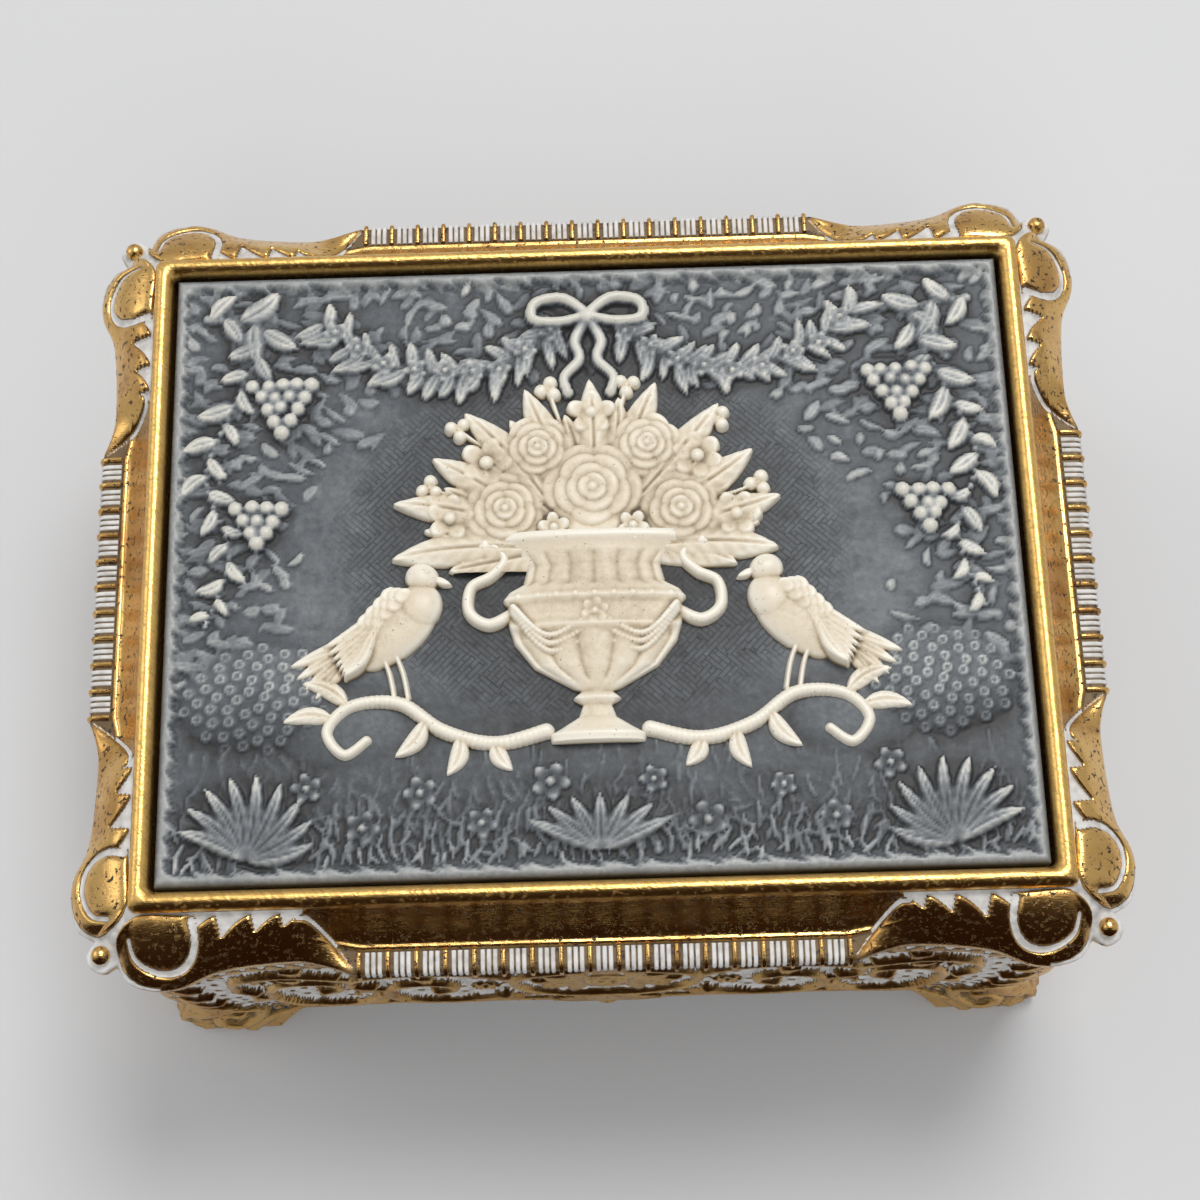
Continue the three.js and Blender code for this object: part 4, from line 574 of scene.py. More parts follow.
def lidSurface(x, y, share):
    # height, wash and painted shade of the casting's top over the plan
    ax, ay = np.abs(x), np.abs(y)
    bandShare = lid["ribBand"] / slope
    filletShare = (lid["ribBand"] + lid["fillet"]) / slope
    coveShare = np.clip((share - filletShare) / (1 - filletShare), 0, 1)
    fillet = lid["filletRise"] * smoothStep(share, bandShare - 0.01, bandShare + 0.03)
    ribZ = rimTop + fillet * (1 - coveShare) + lid["coveRise"] * coveShare**1.5
    ribZ = ribZ + np.exp(-(((share - (bandShare + filletShare) / 2) / 0.028) ** 2)) * 0.12
    padZ = rimTop + lid["coveRise"] * np.sin(share * np.pi / 2)
    webFloor = mix(rimTop, padZ - 1.15, smoothStep(share, 0.3, 0.6))
    webZ = np.maximum(rimTop + lid["coveRise"] * share**1.8, webFloor)
    fields = []
    for c, b, tip in [
        (halfX - ax, ay - footY, halfX - frontRibHalf),
        (halfY - ay, ax - footX, halfY - sideRibHalf),
    ]:
        inside, inCove, groove = padFields(c, b, tip)
        onEdge = b > np.where(c < 12, 0, -5)
        fields.append((np.where(onEdge, inside, -9), inCove, groove, c, tip))
    atBack = (halfX - ax) > (halfY - ay)
    inside, inCove, groove, c, tip = (np.where(atBack, back, side) for back, side in zip(*fields))
    rise = smoothStep(tip - c, 0, 9)
    topZ = mix(np.maximum(ribZ, rimTop + 0.25), padZ, rise)
    pillow = np.clip(np.minimum(inside, groove) / 1.1, 0, 1)
    topZ = topZ - 0.32 * (1 - np.sqrt(1 - (1 - pillow) ** 2))
    corner = smoothStep(9.5 - c, 0, 3)
    lowZ = mix(np.maximum(topZ - lid["notchDepth"], rimTop), webZ, corner)
    onPad = smoothStep(inside, -0.12, 0.16)
    height = mix(lowZ, topZ, onPad)
    inGroove = smoothStep(-groove, -0.1, 0.22)
    height = height - lid["grooveDepth"] * inGroove * onPad * rise**0.5
    wash = np.maximum(1 - onPad, inGroove)
    coveBlend = smoothStep(np.where(inCove, -inside, 0), 0.05, 0.45)
    height = mix(height, ribZ, np.where(inCove, coveBlend, 0))
    wash = np.where(inCove, wash * (1 - smoothStep(-inside, 0.25, 0.6)), wash)
    # the band under the reeds is darkened as painted shade between them
    inBand = (share < bandShare) & inCove
    painted_shade = np.where(inBand & (share > 0.02), 0.85, 0.0)
    wash = np.where(inBand, 0.0, wash)
    return height, wash, painted_shade


def makeLidCasting():
    quarter = quarterOutline(lid["sample"])
    outline = np.vstack(quarter)
    foot = ringPartners(quarter, footX, footY, lid["beadCorner"])
    edge = lid["edgeRound"]
    rings, wash, painted_shade, rubbed_and_highlit = [], [], [], []

    def addRing(plan, z, washes=0.0, paintedShades=0.0, rubbedAndHighlit=0.0):
        rings.append(mirroredRing(np.column_stack([plan, np.broadcast_to(z, len(plan))])))
        for store, value in ((wash, washes), (painted_shade, paintedShades), (rubbed_and_highlit, rubbedAndHighlit)):
            store.append(mirroredValues(np.broadcast_to(value, len(plan))))

    across = lambda share: mix(outline, foot, share)
    x, y = outline.T
    # ribPart marks the edge under the reeds; it lowers the edge there and darkens it as painted shade between
    # the reeds
    ribPart = 1 - smoothStep(np.maximum(np.abs(x) - frontRibHalf, 0) * (y > halfY * 0.9), 0, 2)
    ribPart = np.where(x > halfX * 0.9, 1 - smoothStep(np.abs(y) - sideRibHalf, 0, 2), ribPart)
    addRing(across(edge * 1.2 / slope), lidBottom)
    for turn in np.radians([60, 30, 0]):
        plan = across(edge * (1 - np.cos(turn)) / slope)
        addRing(plan, lidBottom + edge * (1 - np.sin(turn)), 0, 0.7 * ribPart)
    addRing(across(0), mix(lidBottom, rimTop, 0.5), 0, 0.7 * ribPart)
    for turn in np.radians([0, 22, 45, 68, 90]):
        share = edge * (1 - np.cos(turn)) / slope
        plan = across(share)
        z, w, g = lidSurface(plan[:, 0], plan[:, 1], np.full(len(plan), share))
        drop = edge * (1 - np.sin(turn)) * (0.7 + 0.5 * ribPart)
        addRing(plan, z - drop, w, np.maximum(g, 0.7 * ribPart))
    for share in np.linspace(edge / slope, 1, 37)[1:]:
        plan = across(share)
        z, w, g = lidSurface(plan[:, 0], plan[:, 1], np.full(len(plan), share))
        addRing(plan, z, w, g)
    # the bead, marked for its rubbed gilding and its painted highlight
    for turn in np.radians(np.linspace(12, 180, 13)):
        inset = lid["bead"] / 2 * (1 - np.cos(turn))
        plan = ringPartners(quarter, footX - inset, footY - inset, lid["beadCorner"])
        addRing(plan, beadFoot + lid["beadRise"] * np.sin(turn), rubbedAndHighlit=1.0)
    ledgeTop = stoneLow[2] - 0.1
    ledgeBottom = ledgeTop - lid["ledgeThickness"]
    ledgeX, ledgeY = pocketX - lid["ledge"], pocketY - lid["ledge"]
    recessX, recessY = footX + lid["recess"], footY + lid["recess"]
    for x, y, z in [
        (pocketX, pocketY, beadFoot - 0.6),
        (pocketX, pocketY, ledgeTop),
        (ledgeX, ledgeY, ledgeTop),
        (ledgeX, ledgeY, ledgeBottom),
        (recessX, recessY, ledgeBottom),
        (recessX, recessY, lidBottom + lid["footRound"]),
        (recessX + lid["footRound"], recessY + lid["footRound"], lidBottom),
    ]:
        addRing(ringPartners(quarter, x, y, lid["beadCorner"]), z)
    points = np.vstack(rings)
    # room under the back edge for the knuckles on the case
    pitch = hinge["knuckle"] + hinge["gap"]
    nearKnuckle = np.zeros(len(points), bool)
    for place in (-2, 0, 2):
        nearKnuckle |= np.abs(points[:, 0] - place * pitch) < hinge["knuckle"] / 2 + hinge["gap"]
    reach = np.clip(hinge["room"] ** 2 - (points[:, 1] - hinge["y"]) ** 2, 0, None)
    lifted = np.maximum(points[:, 2], hinge["z"] + np.sqrt(reach))
    under = nearKnuckle & (reach > 0) & (points[:, 2] < rimTop - 0.3)
    points[under, 2] = lifted[under]
    quads = gridQuads(len(rings), len(rings[0]), True, True)
    masks = {"wash": wash, "painted_shade": painted_shade, "rubbed_and_highlit": rubbed_and_highlit}
    piece = newPiece("lid_casting", points, [quads], lidGilt, masks)
    facesOutward(piece)
    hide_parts("lid_frame")
    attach(piece, "lid")


makeLidCasting()
print("lid casting is made")


# Geometry Nodes trees are built with these, and a piece is made from a tree with its inputs.

def newGeometryTree(name, sizes):
    return newTree(name, "GeometryNodeTree", {"Geometry": None, **sizes}, {"Geometry": None})


def joinedGeometry(tree, parts):
    join = tree.nodes.new("GeometryNodeJoinGeometry")
    for part in parts:
        tree.links.new(part, join.inputs[0])
    return join.outputs[0]


def finishTree(tree, geometry, out, material):
    real = put(tree, "GeometryNodeRealizeInstances", {"Geometry": geometry}).outputs[0]
    finished = put(tree, "GeometryNodeSetMaterial", {"Geometry": real, "Material": material}).outputs[0]
    tree.links.new(finished, out["Geometry"])


def meshFromTree(tree, values, start=None):
    # the tree's result as a plain mesh, in metres
    holder = newObject("holder", start or bpy.data.meshes.new("holder"))
    modifier = holder.modifiers.new("tree", "NODES")
    modifier.node_group = tree
    for item in tree.interface.items_tree:
        if item.item_type == "SOCKET" and item.in_out == "INPUT" and item.name in values:
            modifier[item.identifier] = values[item.name]
    evaluated = holder.evaluated_get(bpy.context.evaluated_depsgraph_get())
    mesh = bpy.data.meshes.new_from_object(evaluated)
    bpy.data.objects.remove(holder)
    return mesh


def pieceFromMeshes(name, meshes):  # several (mesh, matrix) pairs as one piece
    shape = bmesh.new()
    for mesh, matrix in meshes:
        mesh.transform(matrix)
        shape.from_mesh(mesh)
    whole = bpy.data.meshes.new(name)
    shape.to_mesh(whole)
    shape.free()
    for material in meshes[0][0].materials:
        whole.materials.append(material)
    piece = newObject(name, whole)
    sharpen(piece)
    return piece


# Reeded edge: a wide gilt rib, then three thin washed ones, all the way along each side

reeds = {
    "wide": 0.92,
    "thin": 0.5,
    "thinPitch": 0.72,
    "thickness": 0.55,
    "stand": 0.04,  # middle of a rib over the casting
    "inner": 2.45,  # length over the flat band
    "foot": 0.35,  # lower end over the lid's lower face
    "backFoot": 1.25,  # the same above the hinge
}


def makeReedTree():
    sizes = {"Ribs": 18, "Pitch": 0.0033, "Wide": 0.0009, "Thin": 0.0005, "Thin Pitch": 0.0007}
    sizes |= {"Thickness": 0.0005, "Inner": 0.0025, "Drop": 0.0015}
    tree, given, out = newGeometryTree("reeds", sizes)

    def rib(width, washes):
        inner = vectorOf(tree, y=times(tree, given["Inner"], -1.0))
        foot = vectorOf(tree, z=times(tree, given["Drop"], -1.0))
        values = {"Resolution": 9, "Start": inner, "End": foot}
        values |= {"Start Handle": (0, 0, 0), "End Handle": (0, 0, 0)}
        path = put(tree, "GeometryNodeCurvePrimitiveBezierSegment", values).outputs[0]
        values = {"Width": given["Thickness"], "Height": width}
        section = put(tree, "GeometryNodeCurvePrimitiveQuadrilateral", values).outputs[0]
        values = {"Curve": section, "Radius": times(tree, given["Thickness"], 0.42), "Count": 2}
        rounded = put(tree, "GeometryNodeFilletCurve", values, mode="POLY").outputs[0]
        values = {"Curve": path, "Profile Curve": rounded, "Fill Caps": True}
        solid = put(tree, "GeometryNodeCurveToMesh", values).outputs[0]
        position = put(tree, "GeometryNodeInputPosition").outputs[0]
        height = put(tree, "ShaderNodeSeparateXYZ", {0: position}).outputs["Z"]
        low = maths(tree, "DIVIDE", height, given["Drop"])
        worn = ranged(tree, low, -0.9, -0.2, washes * 0.45, washes)
        values = {"Geometry": solid, "Name": "wash", "Value": worn}
        return put(tree, "GeometryNodeStoreNamedAttribute", values).outputs[0]

    def row(count, rib):
        span = times(tree, given["Pitch"], maths(tree, "SUBTRACT", count, 1.0))
        values = {"Count": count, "Offset": vectorOf(tree, given["Pitch"])}
        values["Start Location"] = vectorOf(tree, times(tree, span, -0.5))
        line = put(tree, "GeometryNodeMeshLine", values).outputs[0]
        return put(tree, "GeometryNodeInstanceOnPoints", {"Points": line, "Instance": rib}).outputs[0]

    thin = rib(given["Thin"], 0.95)
    beside = []
    for k in (-1.0, 0.0, 1.0):
        values = {"Geometry": thin, "Translation": vectorOf(tree, times(tree, given["Thin Pitch"], k))}
        beside.append(put(tree, "GeometryNodeTransform", values).outputs[0])
    wideRow = row(given["Ribs"], rib(given["Wide"], 0.1))
    thinRow = row(maths(tree, "SUBTRACT", given["Ribs"], 1.0), joinedGeometry(tree, beside))
    finishTree(tree, joinedGeometry(tree, [wideRow, thinRow]), out, lidGilt)
    return tree


def makeReeds():
    tree = makeReedTree()
    top = rimTop + reeds["stand"]
    rows = []
    for turn, ribs, out in [
        (0, lid["frontRibs"], halfY),
        (180, lid["frontRibs"], halfY),
        (90, lid["sideRibs"], halfX),
        (270, lid["sideRibs"], halfX),
    ]:
        foot = reeds["backFoot"] if turn == 0 else reeds["foot"]
        sizes = {"Pitch": lid["ribPitch"], "Wide": reeds["wide"], "Thin": reeds["thin"]}
        sizes |= {"Thin Pitch": reeds["thinPitch"], "Thickness": reeds["thickness"]}
        sizes |= {"Inner": reeds["inner"], "Drop": top - lidBottom - foot}
        values = {"Ribs": ribs} | {name: size * mm for name, size in sizes.items()}
        place = Matrix.Rotation(math.radians(turn), 4, "Z") @ Matrix.Translation(Vector((0, out, top)) * mm)
        rows.append((meshFromTree(tree, values), place))
    piece = pieceFromMeshes("rim_reeds", rows)
    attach(piece, "lid")


makeReeds()


def makeLidKnuckles():  # two barrels that turn with the lid, between the case's three
    length, reach = hinge["knuckle"], hinge["radius"]
    turns = np.linspace(0, 2 * np.pi, 33)[:-1]
    rounding = 0.25
    ends = length / 2 - rounding
    shape = [(-length / 2, 0), (-length / 2, reach - rounding), (-ends, reach), (ends, reach)]
    shape += [(length / 2, reach - rounding), (length / 2, 0)]
    points, faces = [], []
    for place in (-1, 1):
        middle = place * (length + hinge["gap"])
        faces.append(gridQuads(len(shape), len(turns), wrapColumns=True) + len(points) * len(turns))
        for along, radius in shape:
            y, z = hinge["y"] + radius * np.cos(turns), hinge["z"] + radius * np.sin(turns)
            points.append(np.column_stack([np.full(len(turns), middle + along), y, z]))
    piece = newPiece("lid_knuckles", np.vstack(points), faces, lidGilt)
    reshape(piece.data, lambda shape: weld(shape, 0.002 * mm))
    facesOutward(piece)
    sharpen(piece)
    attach(piece, "lid")


def makeCornerBalls():
    balls = []
    for sx in (-1, 1):
        for sy in (-1, 1):
            shape = bmesh.new()
            bmesh.ops.create_icosphere(shape, subdivisions=4, radius=lid["ballRadius"] * mm)
            mesh = bpy.data.meshes.new("ball")
            shape.to_mesh(mesh)
            shape.free()
            mesh.materials.append(lidGilt)
            x, y = sx * (halfX - lid["ballIn"]), sy * (halfY - lid["ballIn"])
            place = Matrix.Translation(Vector((x, y, rimTop + lid["ballLift"])) * mm)
            balls.append((mesh, place @ Matrix.Diagonal((1, 1, lid["ballFlat"], 1))))
    piece = pieceFromMeshes("corner_balls", balls)
    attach(piece, "lid")


makeCornerBalls()
makeLidKnuckles()
print("reeded edge and corner balls are made")


# Carving is drawn on a canvas: a grid with one height at each point. A motif gives its height over
# the ground where it lies and how far off it is, below zero, elsewhere.

def pointAt(middle, turn, reach, rise=None):  # on a circle, or an oval, round the middle
    return middle[0] + reach * math.cos(turn), middle[1] + (rise or reach) * math.sin(turn)


def newCanvas(xs, ys, level):
    return {"x": xs, "y": ys, "z": np.full((len(ys), len(xs)), float(level))}


def evenCanvas(lowX, highX, lowY, highY, spacing, level):
    xs = np.linspace(lowX, highX, int((highX - lowX) / spacing) + 1)
    ys = np.linspace(lowY, highY, int((highY - lowY) / spacing) + 1)
    return newCanvas(xs, ys, level)


def stamp(canvas, place, reach, motif, lift=0.0, drop=6.0):
    # lays a motif over the canvas within reach of its place, where it stands higher than what is there
    left, right = np.searchsorted(canvas["x"], [place[0] - reach, place[0] + reach])
    low, high = np.searchsorted(canvas["y"], [place[1] - reach, place[1] + reach])
    if left < right and low < high:
        x, y = np.meshgrid(canvas["x"][left:right], canvas["y"][low:high])
        window = canvas["z"][low:high, left:right]
        height = motif(x, y)
        np.maximum(window, np.where(height > 0, height, height * drop) + lift, out=window)


def turned(x, y, place, turn):
    c, s = math.cos(turn), math.sin(turn)
    x, y = x - place[0], y - place[1]
    return x * c + y * s, y * c - x * s


def dome(canvas, place, radii, height, turn=0.0, lift=0.0, power=0.5):
    def motif(x, y):
        u, v = turned(x, y, place, turn)
        r = np.hypot(u / radii[0], v / radii[1])
        return np.where(r < 1, height * np.clip(1 - r**2, 0, 1) ** power, (1 - r) * min(radii))

    stamp(canvas, place, max(radii) + 0.6, motif, lift)


def bead(canvas, place, radius, height, lift=0.0):
    dome(canvas, place, (radius, radius), height, 0, lift)


def leaf(canvas, start, end, width, height, bend=0.0, veins=6, lift=0.0):
    start, end = np.array(start, float), np.array(end, float)
    length = np.linalg.norm(end - start)
    turn = math.atan2(end[1] - start[1], end[0] - start[0])

    def motif(x, y):
        u, v = turned(x, y, start, turn)
        t = np.clip(u / length, 0, 1)
        v = v - bend * 4 * t * (1 - t)
        half = 1.3 * width * t**0.6 * (1 - t) ** 0.8
        r = np.clip(np.abs(v) / np.maximum(half, 0.02), 0, 1)
        rib = np.exp(-((v / 0.17) ** 2))
        vein = 0.5 + 0.5 * np.cos(2 * np.pi * veins * (t - 0.9 * np.abs(v) / length))
        body = height * (1 - r**2) ** 0.4 * (1 - 0.32 * rib - 0.2 * vein * r * (1 - rib))
        ended = -np.hypot(u - np.clip(u, 0, length), v)
        inside = (u > 0) & (u < length)
        return np.where(inside, np.where(np.abs(v) < half, body, half - np.abs(v)), ended)

    stamp(canvas, (start + end) / 2, length / 2 + width, motif, lift)


def cord(canvas, points, width, height, lift=0.0, taper=0.0, twist=0.0):
    # a rounded strand along a curve, thinner towards its far end by the taper
    curve = splineThrough(points, max(24, 9 * len(points)))
    middle = (curve.min(0) + curve.max(0)) / 2
    reach = float(np.abs(curve - middle).max()) + width

    def motif(x, y):
        away, along = curveDistance(x, y, curve)
        half = width / 2 * (1 - taper * along)
        r = np.clip(away / np.maximum(half, 0.02), 0, 1)
        turns = 1 - 0.25 * (0.5 + 0.5 * np.cos(2 * np.pi * twist * along + 5 * r)) * (twist > 0)
        return np.where(away < half, height * np.sqrt(1 - r**2) * turns, half - away)

    stamp(canvas, middle, reach, motif, lift)


def petal(canvas, place, radii, height, turn, lift):  # cupped, and highest at its outer lip
    def motif(x, y):
        u, v = turned(x, y, place, turn)
        r = np.hypot(u / radii[0], v / radii[1])
        cup = (0.45 + 0.55 * (u / radii[0])) * np.sqrt(np.clip(1 - r**4, 0, 1))
        return np.where(r < 1, height * np.maximum(cup, 0.02), (1 - r) * min(radii))

    stamp(canvas, place, max(radii) + 0.5, motif, lift)


def rose(canvas, place, radius, height, turn, lift):
    rings = [(6, 0.66, 0.42, 0.0), (5, 0.46, 0.38, 0.3), (4, 0.27, 0.3, 0.55), (3, 0.12, 0.2, 0.8)]
    for ring, (count, out, size, step) in enumerate(rings):
        for k in range(count):
            angle = turn + 0.7 * ring + 2 * np.pi * k / count
            middle = pointAt(place, angle, radius * out)
            radii = (radius * size, radius * size * 1.25)
            petal(canvas, middle, radii, height * 0.36, angle, lift + height * step * 0.72)
    bead(canvas, place, radius * 0.11, height * 0.2, lift + height * 0.72)


def blossom(canvas, place, radius, height, turn, lift, petals=5):
    for k in range(petals):
        angle = turn + 2 * np.pi * k / petals
        middle = pointAt(place, angle, radius * 0.58)
        petal(canvas, middle, (radius * 0.44, radius * 0.36), height * 0.8, angle, lift)
    bead(canvas, place, radius * 0.26, height * 0.55, lift + height * 0.25)


def smoothed(heights, cells):
    for axis in (0, 1, 0, 1):
        pads = [(cells + 1, cells) if axis == k else (0, 0) for k in (0, 1)]
        total = np.cumsum(np.pad(heights, pads, mode="edge"), axis=axis)
        total = np.moveaxis(total, axis, 0)
        heights = np.moveaxis((total[2 * cells + 1 :] - total[: -2 * cells - 1]) / (2 * cells + 1), 0, axis)
    return heights


def standing(canvas, spacing, reach):  # how far each point stands over its surroundings
    return canvas["z"] - smoothed(canvas["z"], max(1, int(reach / spacing)))


# Stone plaque: an urn of roses between two doves, below a garland, over a ground of grasses

stone = {
    "coarse": 0.29,  # spacing of the ground's mesh
    "fine": 0.14,  # spacing of the mesh in the middle
    "sky": 56.85,  # height of the background
    "margin": 1.7,
    "edgeRound": 0.8,
    "depth": 0.8,  # how far a fine piece reaches into the ground
    "urnFoot": -22.5,
    "seed": 7,
    "pit": (0.04, 0.035, 0.03),
    "incised": (0.018, 0.018, 0.018),
    # colours from the deepest places, darkened as painted shade, to the highest and most worn, of the ground
    # and of the carving
    "greys": [
        (0.0, (0.022, 0.022, 0.023)),
        (0.25, (0.068, 0.076, 0.084)),
        (0.5, (0.155, 0.167, 0.175)),
        (0.75, (0.34, 0.347, 0.335)),
        (1.0, (0.60, 0.58, 0.51)),
    ],
    "creams": [
        (0.0, (0.16, 0.125, 0.085)),
        (0.3, (0.42, 0.34, 0.23)),
        (0.55, (0.66, 0.57, 0.43)),
        (1.0, (0.80, 0.75, 0.64)),
    ],
}


def ripple(along):
    return 0.5 * np.sin(1.7 * along) + 0.3 * np.sin(4.1 * along + 1) + 0.2 * np.sin(9.3 * along + 2)


def drawGarland(canvas, chance):
    # two swags of leaves and berries from a bow at the top, and vines in the corners
    for side in (-1, 1):
        swag = [(3, 31), (10, 25.8), (18, 24.4), (27, 27), (33, 32)]
        curve = splineThrough([(side * x, y) for x, y in swag], 40)
        cord(canvas, curve[::8], 2.2, 0.5)
        for k, (cx, cy) in enumerate(curve[1:-1]):
            swing = chance.uniform(0.5, 1.3) * (1 if k % 2 else -1)
            along = math.atan2(*(curve[k + 2] - curve[k])[::-1]) + swing
            length = chance.uniform(3.2, 4.6)
            tip = pointAt((cx, cy), along, length)
            leaf(canvas, (cx, cy), tip, chance.uniform(1.5, 2.1), 0.75, chance.uniform(-0.4, 0.4), 5, 0.15)
        for cx, cy in curve[3:-2:4]:
            blossom(canvas, (cx, cy + chance.uniform(-0.6, 0.6)), 1.5, 0.6, chance.uniform(0, 6), 0.6)
        vine = [(47, 33), (40, 31), (43, 22), (46.5, 12), (43.5, 2), (46, -7)]
        vine = [(side * x, y) for x, y in vine]
        curve = splineThrough(vine, 46)
        cord(canvas, vine, 1.3, 0.5, 0.1, 0.5)
        for k in range(1, 45, 2):
            cx, cy = curve[k]
            along = math.atan2(*(curve[k + 1] - curve[k])[::-1]) + (0.9 if k % 4 == 1 else -0.9)
            length = chance.uniform(4.2, 6.4) * (1 - k / 90)
            tip = pointAt((cx, cy), along, length)
            leaf(canvas, (cx, cy), tip, length * 0.55, 0.85, chance.uniform(-0.6, 0.6), 6, 0.1)
        drawGrapes(canvas, (side * 37.5, 23.5), 5, chance)
        drawGrapes(canvas, (side * 40, 7.5), 4, chance)
    for side in (-1, 1):
        loop = [(0, 32), (3, 34.2), (6.4, 33.6), (6.6, 31.4), (3.4, 31), (0, 31.8)]
        cord(canvas, [(side * x, y) for x, y in loop], 1.5, 0.8, 0.7, 0.1)
        tail = [(0, 31.5), (side * 1.6, 28.5), (side * 1.1, 26), (side * 3, 23.6), (side * 2.6, 21.6)]
        cord(canvas, tail, 1.7, 0.8, 0.4, 0.2)
    dome(canvas, (0, 31.7), (1.4, 1.2), 0.8, 0, 0.8)


def drawFoliage(canvas, chance):
    # low leaves all over the upper corners and sides, thinning out towards the middle
    for y in np.arange(35.5, -14, -1.9):
        for x in np.arange(-48.5, 49, 2.1):
            x0, y0 = x + chance.uniform(-1, 1), y + chance.uniform(-0.9, 0.9)
            out = math.hypot(x0 / 34, (y0 + 4) / 27)
            if out < chance.uniform(1.0, 1.22):
                continue
            turn = math.atan2(y0 + 8, x0) + chance.normal(0, 0.9)
            length = chance.uniform(2.0, 4.4)
            tip = (x0 + length * math.cos(turn), y0 + length * math.sin(turn) * 0.7)
            size, height = chance.uniform(0.9, 1.7), chance.uniform(0.2, 0.42)
            leaf(canvas, (x0, y0), tip, size, height, chance.uniform(-0.4, 0.4), 4, 0.06)


def drawGrapes(canvas, place, rows, chance):  # a bunch that hangs from its place
    for row in range(rows):
        count = rows - row
        for k in range(count):
            x = place[0] + (k - (count - 1) / 2) * 1.75 + chance.uniform(-0.2, 0.2)
            y = place[1] - row * 1.5 + chance.uniform(-0.2, 0.2)
            bead(canvas, (x, y), 1.0, 0.9, 0.25 + 0.2 * (1 - abs(k - (count - 1) / 2) / rows))


def drawMeadow(canvas, chance):
    # tufts of blades, ferns and small flowers along the bottom, and two mounds of small rosettes
    for side in (-1, 1):
        mound = (side * 39.5, -16)
        dome(canvas, mound, (9.5, 7), 0.7, 0, 0, 0.8)
        dome(canvas, (side * 30, -21), (8, 5.5), 0.55, 0, 0, 0.8)
        for k in range(64):
            turn, out = k * 2.39996, math.sqrt((k + 0.5) / 64)
            place = pointAt(mound, turn, 9.2 * out, 6.7 * out)
            rosette(canvas, place, 0.72, 0.3, 0.7 * (1 - out**2) ** 0.8)
    for row, y in enumerate(np.linspace(-24.5, -35.3, 9)):
        for x in np.arange(-48.5, 48.6, 1.05):
            foot = (x + chance.uniform(-0.4, 0.4), y + chance.uniform(-0.6, 0.6) - 0.8)
            lean = chance.normal(0, 0.45) + 0.25 * math.sin(foot[0] * 0.4 + row)
            length = chance.uniform(1.6, 3.4)
            tip = (foot[0] + length * math.sin(lean), foot[1] + length * math.cos(lean))
            leaf(canvas, foot, tip, 0.62, chance.uniform(0.3, 0.6), chance.uniform(-0.3, 0.3), 0, 0.06 * row)
    for side in (-1, 1):
        for k in range(9):  # a spreading leaf in each lower corner
            turn = math.radians(12 + 18 * k)
            foot = (side * 40.5, -35.2)
            length = 7.5 + 2.6 * math.sin(turn)
            tip = (foot[0] - side * length * math.cos(turn), foot[1] + length * math.sin(turn))
            leaf(canvas, foot, tip, 2.3, 0.95, 0.5 * side, 7, 0.3 + 0.02 * k)
        for place in [(13, -31.5), (21, -27.5), (27.5, -32.5), (6, -27), (33, -26.5)]:
            at = (side * place[0] + chance.uniform(-1, 1), place[1] + chance.uniform(-0.8, 0.8))
            blossom(canvas, at, chance.uniform(1.5, 2.3), 0.8, chance.uniform(0, 6), 0.45)
    for k in range(7):
        turn = math.radians(30 + 20 * k)
        leaf(canvas, (0, -35), pointAt((0, -34.5), turn, 9.5, 6), 2.2, 0.9, 0, 6, 0.35)


def rosette(canvas, place, radius, height, lift):  # a small ring with a dimple
    def motif(x, y):
        r = np.hypot(x - place[0], y - place[1]) / radius
        ring = height * np.exp(-(((r - 0.62) / 0.3) ** 2))
        return np.where(r < 1, ring + 0.01, (1 - r) * radius)

    stamp(canvas, place, radius + 0.3, motif, lift)


